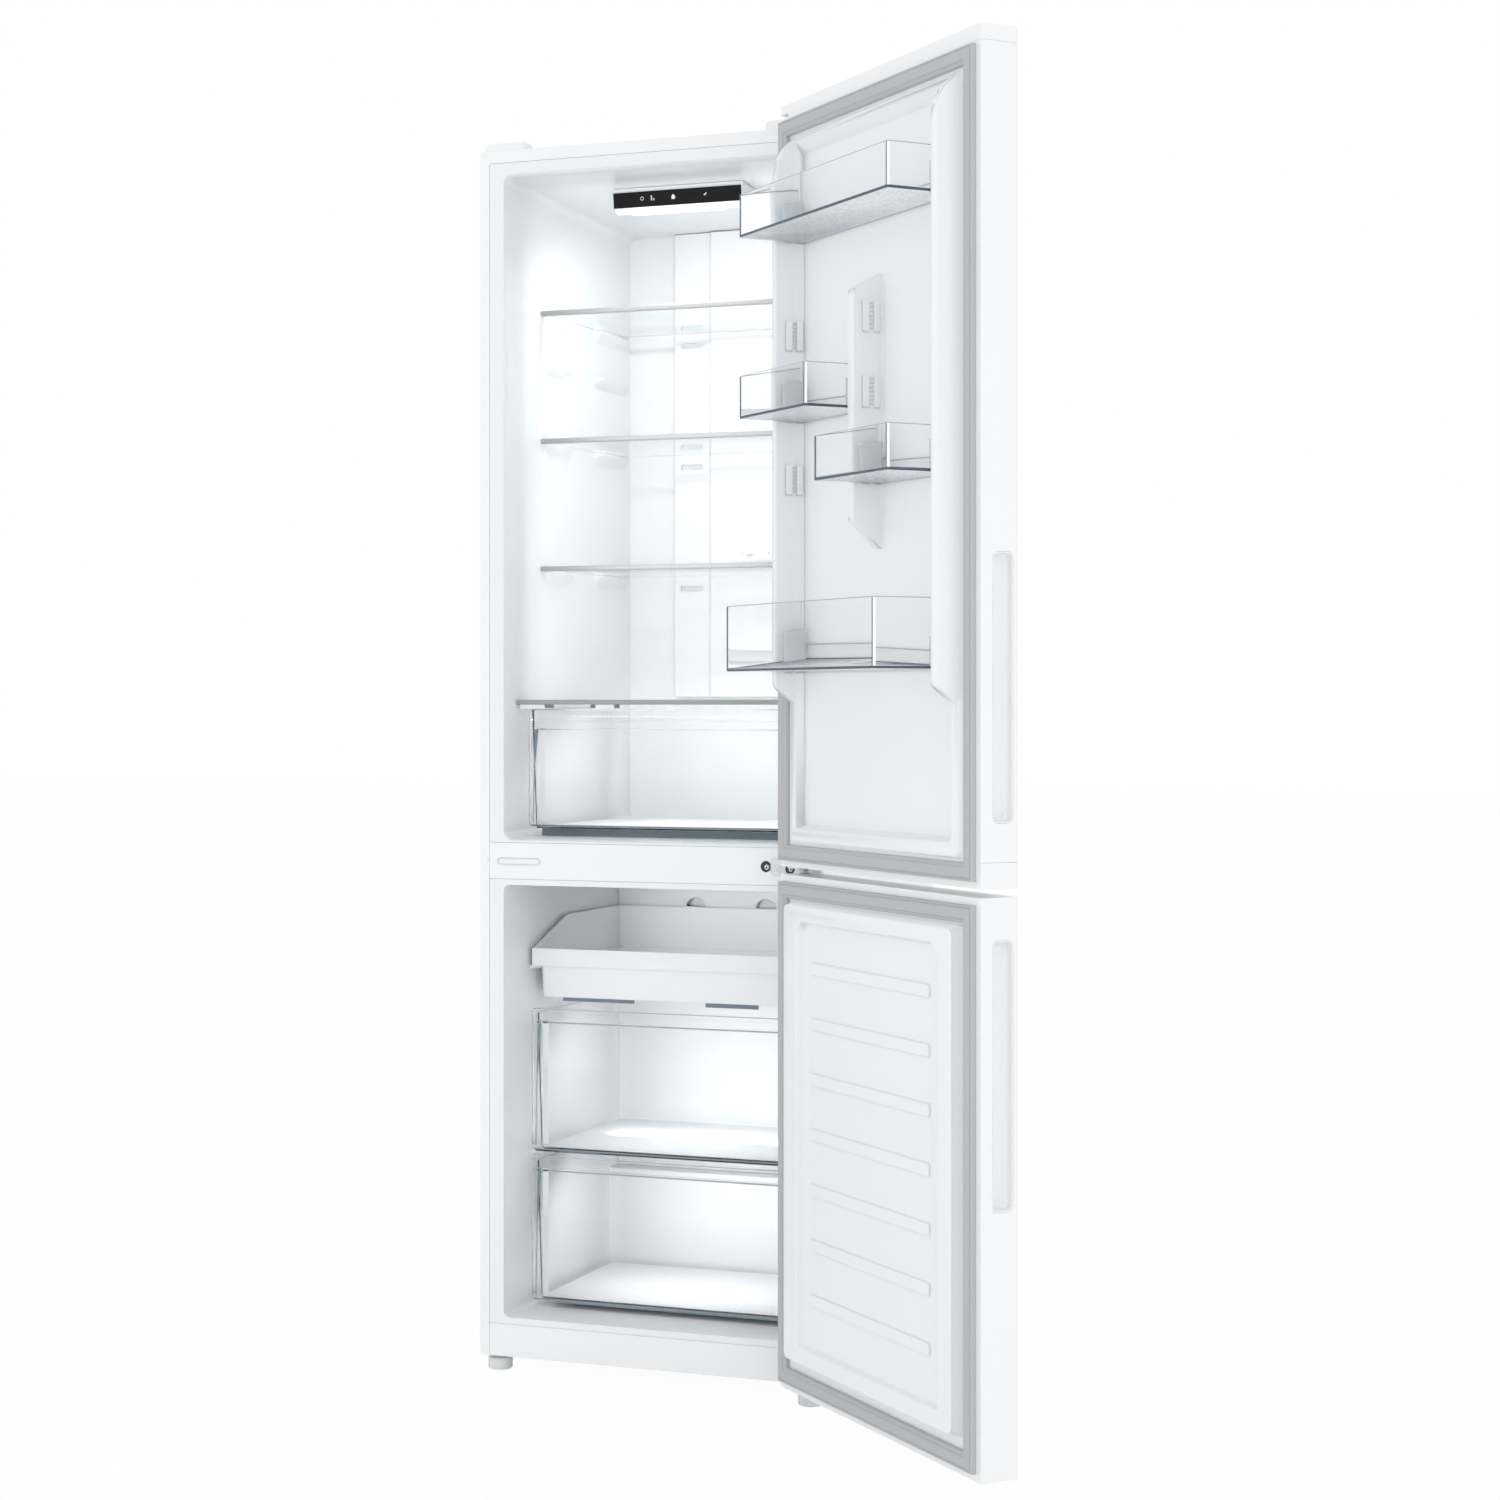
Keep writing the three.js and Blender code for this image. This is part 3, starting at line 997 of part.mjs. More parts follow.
function dyke(x) {
  const outer = DYKE_X - DYKE_WIDTH;
  const plan = polygon([
    [x(outer), -12], [x(outer + 4), DYKE_RISE - 8], [x(outer + 8), DYKE_RISE], [x(DYKE_X - 4), DYKE_RISE],
    [x(DYKE_X), DYKE_RISE - 4], [x(DYKE_X), -12]]);
  const top = FIELD.z1;
  const low = BIN_BOTTOMS.bottle - 48;
  const side = polygon([
    [-12, low - 10], [-PLATEAU, low], [DYKE_RISE - 3, low + 24], [DYKE_RISE, low + 30],
    [DYKE_RISE, top - 60], [DYKE_RISE - 6, top - 30], [DYKE_RISE - 18, top - 8], [-PLATEAU, top + 8],
    [-12, top + 8]]);
  return prismZ(plan, low - 20, top + 20).intersect(prismX(side, 0, WIDTH));
}

function fin() {
  const half = FIN_WIDTH / 2;
  const [z0, z1] = [HOOK_TOPS[2] - HOOK_HEIGHT - 96, HOOK_TOPS[0] + 40];
  const base = -DOOR_BASE - 1;
  const plan = polygon([
    [MID - half - 2, base], [MID - half, DYKE_RISE - 6], [MID - half + 4, DYKE_RISE - 2],
    [MID + half - 4, DYKE_RISE - 2], [MID + half, DYKE_RISE - 6], [MID + half + 2, base]]);
  const side = polygon([
    [base, z0], [DYKE_RISE - 8, z0 + 38], [DYKE_RISE - 2, z0 + 50], [DYKE_RISE - 2, z1 - 34],
    [DYKE_RISE - 8, z1 - 22], [base, z1]]);
  return prismZ(plan, z0 - 1, z1 + 1).intersect(prismX(side, 0, WIDTH));
}

// a pair of upright ribs that a bin's pocket slides down over
function hook(x, top) {
  return [[-16, -6], [2, 13]].map(([y0, y1]) => blockBetween(
    x(DYKE_X - 1), x(DYKE_X + HOOK_RISE), y0, y1, top - HOOK_HEIGHT, top));
}
const finHook = (side, top) => hook(
  (x) => MID + side * (FIN_WIDTH / 2 + (x - DYKE_X)), top);

function upperDoorLining() {
  const tray = cut(fieldPocket(LINER, -PLATEAU + 0.5), block(0, WIDTH, -PLATEAU, 9, 0, DOOR_TOP));
  const body = cut(
    join(liningPlate(UPPER_LINING), rim(UPPER_LINING, -PLATEAU), tray), fieldPocket(0, 3));
  const wholeWidth = [BIN_BOTTOMS.upper, BIN_BOTTOMS.bottle].map((z) => z + HOOK_HEIGHT);
  const hooks = [
    ...[...HOOK_TOPS, ...wholeWidth].flatMap((top) => mirror((x) => hook(x, top)).flat()),
    ...HOOK_TOPS.flatMap((top) => [-1, 1].flatMap((side) => finHook(side, top)))];
  return join(body, mirror(dyke), fin(), hooks);
}

function lowerDoorLining() {
  const { bottom, top } = LOWER_LINING;
  const [x0, z0, z1] = [DYKE_X + 20, bottom + 71, top - 57];
  const field = (face, g) => {
    const points = [
      [x0 + g, z0 + g], [RIGHT(x0 + g), z0 + g], [RIGHT(x0 + g), z1 - 16 - g], [RIGHT(x0 + 18 + g), z1 - g],
      [x0 + 18 + g, z1 - g], [x0 + g, z1 - 16 - g]];
    return points.map(([x, z]) => [x, face, z]);
  };
  const recess = loft([field(-LOWER_RECESS, 4), field(LOWER_PLATEAU + 1, 0)]);
  const barX = [DYKE_X + 53, RIGHT(DYKE_X + 53)];
  const bars = Array.from({ length: BAR_COUNT }, (_, k) => {
    const z = BAR_TOP - k * BAR_PITCH;
    return loft([
      ringXZ(-LOWER_RECESS - 0.5, barX[0], z - BAR_HEIGHT, barX[1], z, 5),
      ringXZ(-LOWER_RECESS + BAR_RELIEF, barX[0] + 2, z - BAR_HEIGHT + 2, barX[1] - 2, z - 2, 4)]);
  });
  return join(cut(join(liningPlate(LOWER_LINING), rim(LOWER_LINING, LOWER_PLATEAU, 13)), recess), bars);
}

function gasket({ bottom, top }) {
  const [e, w] = [GASKET_EDGE, GASKET_WIDTH];
  const [y0, y1] = [DOOR_INNER + 2 * FIT + LINER, -GASKET_FACE];
  const [z0, z1] = [bottom + 1, top - 1];
  const outer = loft([
    ringXZ(y0, e, z0, RIGHT(e), z1, 4), ringXZ(y1 - 2.5, e, z0, RIGHT(e), z1, 4),
    ringXZ(y1, e + 2.5, z0 + 2.5, RIGHT(e + 2.5), z1 - 2.5, 3)]);
  const inner = loft([
    ringXZ(y0 - 1, e + w, z0 + w, RIGHT(e + w), z1 - w, 2),
    ringXZ(y1 - 2.5, e + w, z0 + w, RIGHT(e + w), z1 - w, 2),
    ringXZ(y1 + 0.01, e + w - 2.5, z0 + w - 2.5, RIGHT(e + w - 2.5), z1 - w + 2.5, 2),
    ringXZ(y1 + 1, e + w - 2.5, z0 + w - 2.5, RIGHT(e + w - 2.5), z1 - w + 2.5, 2)]);
  return cut(outer, inner);
}

// an open-topped bin; pockets inside its rear corners take the hooks
function doorBin({ x0, x1, z, height, reach }) {
  const w = BIN_WALL;
  const [y0, y1] = [-BIN_REAR, reach];
  const outer = prismZ(roundRect(x0, y0, x1, y1, [3, 3, 4, 4]), z, z + height, 2);
  const inner = prismZ(
    roundRect(x0 + w, y0 + w, x1 - w, y1 - w, [2, 2, 2, 2]), z + BIN_FLOOR, z + height + 1, 2);
  const lowRear = block(x0 - 1, x1 + 1, y0 - 1, y0 + w + 0.5, z + 24, z + height + 1);
  const pocket = (a, b) => block(a, b, y0 + 1, y0 + 38, z + 1, z + HOOK_HEIGHT);
  const pockets = [pocket(x0 + 1, x0 + 14), pocket(x1 - 14, x1 - 1)];
  return join(cut(outer, inner, lowRear), pockets);
}

const BIN_SIDE = DYKE_X + HOOK_RISE + FIT;
const FIN_SIDE = FIN_WIDTH / 2 + HOOK_RISE + FIT;
const BINS = {
  door_bin_upper: {
    x0: BIN_SIDE, x1: RIGHT(BIN_SIDE), z: BIN_BOTTOMS.upper, height: SMALL_BIN_HEIGHT,
    reach: SMALL_BIN_REACH },
  door_bin_hinge_side: {
    x0: MID + FIN_SIDE, x1: RIGHT(BIN_SIDE), z: BIN_BOTTOMS.hinge, height: SMALL_BIN_HEIGHT,
    reach: SMALL_BIN_REACH },
  door_bin_free_side: {
    x0: BIN_SIDE, x1: MID - FIN_SIDE, z: BIN_BOTTOMS.free, height: SMALL_BIN_HEIGHT, reach: SMALL_BIN_REACH },
  door_bin_bottle: {
    x0: BIN_SIDE, x1: RIGHT(BIN_SIDE), z: BIN_BOTTOMS.bottle, height: BOTTLE_BIN_HEIGHT,
    reach: BOTTLE_BIN_REACH },
};

// a door's group turns about the hinge axis; its inner group is in cabinet coordinates
function hungDoor() {
  const swing = new THREE.Group();
  swing.position.set(HINGE_X, HINGE_Y, 0);
  swing.rotation.z = THREE.MathUtils.degToRad(DOOR_OPEN_DEG);
  const leaf = new THREE.Group();
  leaf.position.set(-HINGE_X, -HINGE_Y, 0);
  swing.add(leaf);
  refrigerator.add(swing);
  return leaf;
}

// ---------------------------------------------------------------- assembly

add(refrigerator, 'cabinet_shell', cabinetShell(), WHITE_STEEL);
add(refrigerator, 'rear_panel', rearPanel(), WHITE_STEEL);
add(refrigerator, 'insulation_foam', insulationFoam(), FOAM);
add(refrigerator, 'fridge_liner', fridgeLiner(), LINER_WHITE);
add(refrigerator, 'freezer_liner', freezerLiner(), LINER_WHITE);
add(refrigerator, 'middle_rail', middleRail(), WHITE_PLASTIC);
add(refrigerator, 'base_plate', basePlate(), WHITE_STEEL);

add(refrigerator, 'compressor_tray', compressorTray(), ZINC);
add(refrigerator, 'compressor', compressor(), BLACK_PAINT);
PUMP_BOLTS.forEach((bolt, k) => {
  add(refrigerator, `compressor_mount_${k + 1}`, compressorMount(bolt), RUBBER);
});
add(refrigerator, 'refrigerant_tubes', refrigerantTubes(), COPPER);
add(refrigerator, 'drip_tray', dripTray(), GREY_PLASTIC);

add(refrigerator, 'top_hinge_bracket', topHinge(), ZINC);
add(refrigerator, 'top_hinge_cover', topHingeCover(), WHITE_PLASTIC);
add(refrigerator, 'hinge_seat_cover', hingeSeatCover(), WHITE_PLASTIC);
add(refrigerator, 'middle_hinge_bracket', middleHinge(), ZINC);
add(refrigerator, 'bottom_hinge_bracket', bottomHinge(), ZINC);

add(refrigerator, 'control_housing', controlHousing(), WHITE_PLASTIC);
add(refrigerator, 'control_glass', controlGlass(), BLACK_GLASS);
add(refrigerator, 'lamp_lens', lampLens(), LAMP_WHITE);
add(refrigerator, 'air_duct_panel', airDuctPanel(), LINER_WHITE);
SHELF_TOPS.forEach((top, k) => {
  add(refrigerator, `shelf_glass_${k + 1}`, shelfGlass(top), GLASS_SHEET);
  add(refrigerator, `shelf_trim_${k + 1}`, shelfTrim(top), GREY_TRIM);
});
add(refrigerator, 'crisper_cover_glass', coverGlass(), GLASS_SHEET);
add(refrigerator, 'crisper_cover_trim', coverTrim(), GREY_TRIM);
add(refrigerator, 'crisper_drawer', crisperDrawer(), CLEAR);
add(refrigerator, 'egg_tray', eggTray(), WHITE_PLASTIC);

add(refrigerator, 'freezer_top_drawer', topDrawer(), WHITE_PLASTIC);
add(refrigerator, 'freezer_middle_drawer', deepDrawer(MIDDLE_DRAWER, BACK_PANEL - 8), CLEAR);
add(refrigerator, 'freezer_bottom_drawer', deepDrawer(BOTTOM_DRAWER, HUMP_FRONT - 4), CLEAR);
add(refrigerator, 'freezer_glass_shelf', freezerGlass(), GLASS_SHEET);
add(refrigerator, 'freezer_back_panel', freezerBackPanel(), LINER_WHITE);
add(refrigerator, 'evaporator', evaporator(), ALUMINIUM);
add(refrigerator, 'evaporator_fan', evaporatorFan(), GREY_PLASTIC);

add(refrigerator, 'rear_rollers', rearRollers(), GREY_PLASTIC);
add(refrigerator, 'foot_left', foot(CABINET_BOTTOM + 12), GREY_PLASTIC).position.set(...LEFT_FOOT, 0);
add(refrigerator, 'foot_right', foot(CABINET_BOTTOM + 6), GREY_PLASTIC)
  .position.set(RIGHT(RIGHT_FOOT_INSET), -RIGHT_FOOT_AHEAD, 0);

const upperDoor = hungDoor();
add(upperDoor, 'upper_door_shell', upperDoorShell(), WHITE_STEEL);
add(upperDoor, 'upper_door_foam', upperDoorFoam(), FOAM);
add(upperDoor, 'upper_door_top_cap', upperDoorTopCap(), WHITE_PLASTIC);
add(upperDoor, 'upper_door_bottom_cap', upperDoorBottomCap(), WHITE_PLASTIC);
add(upperDoor, 'upper_door_lining', upperDoorLining(), LINER_WHITE);
add(upperDoor, 'upper_door_gasket', gasket(UPPER_LINING), GASKET_GREY);
add(upperDoor, 'upper_door_grip', doorGrip(UPPER_GRIP_BOTTOM), WHITE_PLASTIC);
for (const [name, spec] of Object.entries(BINS)) add(upperDoor, name, doorBin(spec), CLEAR);

const lowerDoor = hungDoor();
add(lowerDoor, 'lower_door_shell', lowerDoorShell(), WHITE_STEEL);
add(lowerDoor, 'lower_door_foam', lowerDoorFoam(), FOAM);
add(lowerDoor, 'lower_door_lining', lowerDoorLining(), LINER_WHITE);
add(lowerDoor, 'lower_door_gasket', gasket(LOWER_LINING), GASKET_GREY);
add(lowerDoor, 'lower_door_grip', doorGrip(LOWER_GRIP_BOTTOM), WHITE_PLASTIC);

// origin at the centre of the base of the box round it all, with the doors open
refrigerator.updateMatrixWorld(true);
const bounds = new THREE.Box3().setFromObject(refrigerator, true);
const centre = bounds.getCenter(new THREE.Vector3());
const origin = new THREE.Vector3(centre.x, centre.y, bounds.min.z);
for (const child of refrigerator.children) child.position.sub(origin);

export default refrigerator;
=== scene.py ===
"""Finishes and fine pieces for a refrigerator with the freezer below, both doors open.

Sizes are millimetres in the cabinet's own frame: X from its left side, Y from its front plane to the
back, Z from the floor. Pieces on a door are written with that door closed, then swung open with it.
"""

import json
import math

import bmesh
import bpy
from bpy.props import FloatProperty, FloatVectorProperty, IntProperty, PointerProperty
from mathutils import Matrix, Vector


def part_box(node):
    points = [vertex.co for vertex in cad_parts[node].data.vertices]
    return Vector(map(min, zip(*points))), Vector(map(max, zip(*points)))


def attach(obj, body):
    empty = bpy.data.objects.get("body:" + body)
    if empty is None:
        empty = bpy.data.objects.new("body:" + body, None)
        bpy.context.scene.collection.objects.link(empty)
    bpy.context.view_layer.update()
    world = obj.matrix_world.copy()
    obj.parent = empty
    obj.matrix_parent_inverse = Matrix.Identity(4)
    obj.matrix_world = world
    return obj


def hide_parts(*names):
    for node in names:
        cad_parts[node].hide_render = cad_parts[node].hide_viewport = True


bl_info = {
    "name": "Bottom freezer refrigerator",
    "version": (1, 0, 0),
    "blender": (4, 5, 0),
    "location": "3D View > Sidebar > Refrigerator",
    "description": "Builds the visible pieces and finishes of a refrigerator with the freezer below",
    "category": "Object",
}

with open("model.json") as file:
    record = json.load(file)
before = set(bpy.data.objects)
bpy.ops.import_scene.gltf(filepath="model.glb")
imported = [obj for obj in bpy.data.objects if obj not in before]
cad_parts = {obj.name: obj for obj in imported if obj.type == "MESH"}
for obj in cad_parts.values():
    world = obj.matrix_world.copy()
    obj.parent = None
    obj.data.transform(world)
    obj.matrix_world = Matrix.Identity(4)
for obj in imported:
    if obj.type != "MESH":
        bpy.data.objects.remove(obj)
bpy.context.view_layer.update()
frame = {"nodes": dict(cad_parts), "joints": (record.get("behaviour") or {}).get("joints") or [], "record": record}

MM = 0.001
RECORD = frame["record"]
JOINTS = {joint["name"]: joint for joint in frame["joints"]}
NODE_BODY = {node: body for body, nodes in RECORD["behaviour"]["bodies"].items() for node in nodes}
CABINET_LOW, CABINET_HIGH = (Vector(corner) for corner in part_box("cabinet_shell"))
WIDTH = (CABINET_HIGH.x - CABINET_LOW.x) / MM
TOP = CABINET_HIGH.z / MM

# cabinet frame in millimetres to the row frame in metres
PLACE = Matrix.Translation((CABINET_LOW.x, CABINET_LOW.y, 0)) @ Matrix.Scale(MM, 4)


def door_place(joint_name):
    """The same for pieces on a door, written with the door closed."""
    joint = JOINTS[joint_name]
    axis = Matrix.Translation(joint["pos_m"])
    opened = Matrix.Rotation(math.radians(-joint["range_deg"][0]), 4, "Z")
    return axis @ opened @ axis.inverted() @ PLACE


UPPER = door_place("upper_door_hinge")
LOWER = door_place("lower_door_hinge")


def extent(node, place=PLACE):
    """Lowest and highest corner of a node in its own millimetre frame."""
    back = place.inverted()
    points = [back @ vertex.co for vertex in frame["nodes"][node].data.vertices]
    low = Vector([min(p[k] for p in points) for k in range(3)])
    high = Vector([max(p[k] for p in points) for k in range(3)])
    return low, high


# ---------------------------------------------------------------- settings


def colour(name, description, default):
    return FloatVectorProperty(
        name=name, description=description, subtype="COLOR", size=3, min=0, max=1, default=default
    )


def length(name, description, default):
    return FloatProperty(
        name=name, description=description, subtype="DISTANCE", unit="LENGTH", min=0, default=default * MM
    )


class RefrigeratorFinishes(bpy.types.PropertyGroup):
    """Colours of the surfaces."""

    steel: colour("Painted steel", "Cabinet and door skins", (0.86, 0.865, 0.87))
    plastic: colour("White plastic", "Caps, covers and grips", (0.86, 0.865, 0.87))
    liner: colour("Liner", "Cabinet and door linings", (0.83, 0.845, 0.855))
    seal: colour("Seal", "Door seals", (0.462, 0.465, 0.468))
    trim: colour("Shelf trim", "Front trims of the glass shelves", (0.355, 0.36, 0.36))
    clear: colour("Clear plastic", "Bins and drawers", (0.985, 0.99, 0.993))
    # the clear edges' dark blue-grey is painted shade, where light leaves the thick plastic
    edge: colour("Clear plastic edge", "Thick edges of the clear mouldings", (0.05, 0.085, 0.13))
    panel: colour("Control panel", "Glass of the control panel", (0.008, 0.008, 0.009))


class RefrigeratorSizes(bpy.types.PropertyGroup):
    """Sizes that the fine pieces follow."""

    fold: length("Steel fold", "Radius of the cabinet's and doors' folded edges", 2.2)
    moulding: length("Moulded edge", "Radius of an edge on a plastic moulding", 2.0)
    small: length("Small edge", "Radius of an edge on a small piece", 0.8)
    bin_wall: length("Bin wall", "Wall of a door bin", 2.5)
    dots: IntProperty(name="Crisper dots", description="Dots moulded along the crisper", default=60, min=1)
    teeth: IntProperty(name="Hook teeth", description="Ribs across each bin hook", default=7, min=1)


def finishes():
    return bpy.context.scene.refrigerator_finishes


def sizes():
    return bpy.context.scene.refrigerator_sizes


# ---------------------------------------------------------------- shader groups and materials


# thin clear walls bend light less than a thick one would
CLEAR_IOR = 1.14
# how fine the dimples under the bins are
DIMPLES = 330


def socket(group, name, kind, in_out, default=None):
    made = group.interface.new_socket(name=name, in_out=in_out, socket_type=kind)
    if default is not None:
        made.default_value = default


def group_tree(name, inputs, outputs):
    """An empty shader group with its input and output nodes."""
    group = bpy.data.node_groups.new(name, "ShaderNodeTree")
    for entry in inputs:
        socket(group, entry[0], entry[1], "INPUT", *entry[2:])
    for label, kind in outputs:
        socket(group, label, kind, "OUTPUT")
    return group, group.nodes.new("NodeGroupInput"), group.nodes.new("NodeGroupOutput")


def feed(tree, entry, value):
    """Sets an input to a number or links it to an output."""
    if isinstance(value, (int, float)):
        entry.default_value = value
    else:
        tree.links.new(value, entry)


def math_node(tree, operation, first, second):
    made = tree.nodes.new("ShaderNodeMath")
    made.operation = operation
    feed(tree, made.inputs[0], first)
    feed(tree, made.inputs[1], second)
    return made.outputs[0]


def noise(tree, vector, scale, detail):
    made = tree.nodes.new("ShaderNodeTexNoise")
    made.inputs["Detail"].default_value = detail
    tree.links.new(vector, made.inputs["Vector"])
    feed(tree, made.inputs["Scale"], scale)
    return made.outputs["Fac"]


def surface_group():
    """Fine grain over broad, faint patches: a colour, a roughness and a height."""
    if "surface_grain" in bpy.data.node_groups:
        return bpy.data.node_groups["surface_grain"]
    group, start, end = group_tree(
        "surface_grain",
        [
            ("Vector", "NodeSocketVector"),
            ("Scale", "NodeSocketFloat", 900.0),
            ("Colour", "NodeSocketColor", (0.8, 0.8, 0.8, 1)),
            ("Shade", "NodeSocketFloat", 0.02),
            ("Roughness", "NodeSocketFloat", 0.4),
            ("Spread", "NodeSocketFloat", 0.08),
        ],
        [("Colour", "NodeSocketColor"), ("Roughness", "NodeSocketFloat"), ("Height", "NodeSocketFloat")],
    )
    fine = noise(group, start.outputs["Vector"], start.outputs["Scale"], 2)
    broad = noise(group, start.outputs["Vector"], 7.0, 3)
    shade = math_node(group, "MULTIPLY", math_node(group, "SUBTRACT", broad, 0.5), start.outputs["Shade"])
    gain = math_node(group, "ADD", shade, 1.0)
    scaled = group.nodes.new("ShaderNodeVectorMath")
    scaled.operation = "SCALE"
    group.links.new(start.outputs["Colour"], scaled.inputs[0])
    group.links.new(gain, scaled.inputs["Scale"])
    spread = math_node(group, "MULTIPLY", math_node(group, "SUBTRACT", broad, 0.5), start.outputs["Spread"])
    group.links.new(scaled.outputs[0], end.inputs["Colour"])
    group.links.new(math_node(group, "ADD", start.outputs["Roughness"], spread), end.inputs["Roughness"])
    group.links.new(fine, end.inputs["Height"])
    return group


def streak_group():
    """Fine lines along one direction, as drawn or brushed metal has."""
    if "drawn_streaks" in bpy.data.node_groups:
        return bpy.data.node_groups["drawn_streaks"]
    group, start, end = group_tree(
        "drawn_streaks",
        [("Vector", "NodeSocketVector"), ("Stretch", "NodeSocketVector", (1, 1, 30))],
        [("Mask", "NodeSocketFloat")],
    )
    stretched = group.nodes.new("ShaderNodeVectorMath")
    stretched.operation = "MULTIPLY"
    group.links.new(start.outputs["Vector"], stretched.inputs[0])
    group.links.new(start.outputs["Stretch"], stretched.inputs[1])
    group.links.new(noise(group, stretched.outputs[0], 40.0, 4), end.inputs["Mask"])
    return group


def spangle_group():
    """Flat grey crystals of galvanised sheet."""
    if "zinc_spangle" in bpy.data.node_groups:
        return bpy.data.node_groups["zinc_spangle"]
    group, start, end = group_tree(
        "zinc_spangle",
        [("Vector", "NodeSocketVector"), ("Scale", "NodeSocketFloat", 90.0)],
        [("Mask", "NodeSocketFloat")],
    )
    cells = group.nodes.new("ShaderNodeTexVoronoi")
    group.links.new(start.outputs["Vector"], cells.inputs["Vector"])
    group.links.new(start.outputs["Scale"], cells.inputs["Scale"])
    grey = group.nodes.new("ShaderNodeSeparateColor")
    group.links.new(cells.outputs["Color"], grey.inputs[0])
    group.links.new(grey.outputs[0], end.inputs["Mask"])
    return group


def place_group(tree, group):
    made = tree.nodes.new("ShaderNodeGroup")
    made.node_tree = group
    coordinates = tree.nodes.new("ShaderNodeTexCoord")
    tree.links.new(coordinates.outputs["Object"], made.inputs["Vector"])
    return made


def new_material(name):
    material = bpy.data.materials.new(name)
    material.use_nodes = True
    return material, material.node_tree, material.node_tree.nodes["Principled BSDF"]


def bump(tree, height, shader, strength, distance):
    made = tree.nodes.new("ShaderNodeBump")
    made.inputs["Strength"].default_value = strength
    made.inputs["Distance"].default_value = distance * MM
    tree.links.new(height, made.inputs["Height"])
    tree.links.new(made.outputs["Normal"], shader.inputs["Normal"])


def grained(name, base, roughness, grain, relief, shade=0.02, spread=0.08, **shader_values):
    """A moulded, painted or cast surface."""
    material, tree, shader = new_material(name)
    group = place_group(tree, surface_group())
    group.inputs["Scale"].default_value = grain
    group.inputs["Colour"].default_value = (*base, 1)
    group.inputs["Shade"].default_value = shade
    group.inputs["Roughness"].default_value = roughness
    group.inputs["Spread"].default_value = spread
    tree.links.new(group.outputs["Colour"], shader.inputs["Base Color"])
    tree.links.new(group.outputs["Roughness"], shader.inputs["Roughness"])
    bump(tree, group.outputs["Height"], shader, 0.25, relief)
    for label, value in shader_values.items():
        shader.inputs[label.replace("_", " ")].default_value = value
    return material


def lit_through(tree, shader, tint):
    """Shadows and bounced light pass straight through, so that what stands behind is lit."""
    path = tree.nodes.new("ShaderNodeLightPath")
    passing = math_node(tree, "MAXIMUM", path.outputs["Is Shadow Ray"], path.outputs["Is Diffuse Ray"])
    straight = tree.nodes.new("ShaderNodeBsdfTransparent")
    straight.inputs["Color"].default_value = (*tint, 1)
    mix = tree.nodes.new("ShaderNodeMixShader")
    tree.links.new(passing, mix.inputs[0])
    tree.links.new(shader.outputs[0], mix.inputs[1])
    tree.links.new(straight.outputs[0], mix.inputs[2])
    tree.links.new(mix.outputs[0], tree.nodes["Material Output"].inputs["Surface"])


def see_through(name, base, roughness, grain, relief, ior=1.49, passed=0.97, clear=1.0):
    """Clear plastic or glass; its body colour stays plain and the surface carries the grain."""
    material, tree, shader = new_material(name)
    shader.inputs["Base Color"].default_value = (*base, 1)
    shader.inputs["Transmission Weight"].default_value = clear
    shader.inputs["IOR"].default_value = ior
    group = place_group(tree, surface_group())
    group.inputs["Scale"].default_value = grain
    group.inputs["Roughness"].default_value = roughness
    group.inputs["Spread"].default_value = roughness * 0.5
    tree.links.new(group.outputs["Roughness"], shader.inputs["Roughness"])
    bump(tree, group.outputs["Height"], shader, 0.2, relief)
    lit_through(tree, shader, (passed, passed, passed))
    return material


def masked_colour(tree, masking, shader, dark, bright):
    """Colours the surface from dark to bright by the group's mask."""
    mix = tree.nodes.new("ShaderNodeMix")
    mix.data_type = "RGBA"
    mix.inputs["A"].default_value = (*dark, 1)
    mix.inputs["B"].default_value = (*bright, 1)
    tree.links.new(masking.outputs["Mask"], mix.inputs["Factor"])
    tree.links.new(mix.outputs["Result"], shader.inputs["Base Color"])


def dimpled(name, dark, bright):
    """Clear plastic over small moulded dimples, each painted lighter or darker as the glint or shade it has where
    it catches the light.
    """
    material, tree, shader = new_material(name)
    made = place_group(tree, spangle_group())
    made.inputs["Scale"].default_value = DIMPLES
    masked_colour(tree, made, shader, dark, bright)
    shader.inputs["Transmission Weight"].default_value = 0.5
    shader.inputs["IOR"].default_value = CLEAR_IOR
    shader.inputs["Roughness"].default_value = 0.15
    bump(tree, made.outputs["Mask"], shader, 0.3, 0.8)
    lit_through(tree, shader, (0.95, 0.95, 0.95))
    return material


def masked_metal(name, group_maker, dark, bright, roughness):
    """A metal whose colour and roughness follow a mask."""
    material, tree, shader = new_material(name)
    made = place_group(tree, group_maker())
    masked_colour(tree, made, shader, dark, bright)
    rough = math_node(tree, "ADD", math_node(tree, "MULTIPLY", made.outputs["Mask"], 0.15), roughness)
    tree.links.new(rough, shader.inputs["Roughness"])
    shader.inputs["Metallic"].default_value = 1.0
    bump(tree, made.outputs["Mask"], shader, 0.15, 0.05)
    return material


def glowing(name, base, strength):
    """The diffuser over the lamp, faintly ribbed."""
    material, tree, shader = new_material(name)
    ribs = tree.nodes.new("ShaderNodeTexWave")
    ribs.inputs["Scale"].default_value = 60
    coordinates = tree.nodes.new("ShaderNodeTexCoord")
    tree.links.new(coordinates.outputs["Object"], ribs.inputs["Vector"])
    shader.inputs["Base Color"].default_value = (*base, 1)
    shader.inputs["Roughness"].default_value = 0.5
    shader.inputs["Emission Color"].default_value = (*base, 1)
    shader.inputs["Emission Strength"].default_value = strength
    bump(tree, ribs.outputs["Fac"], shader, 0.3, 0.3)
    return material


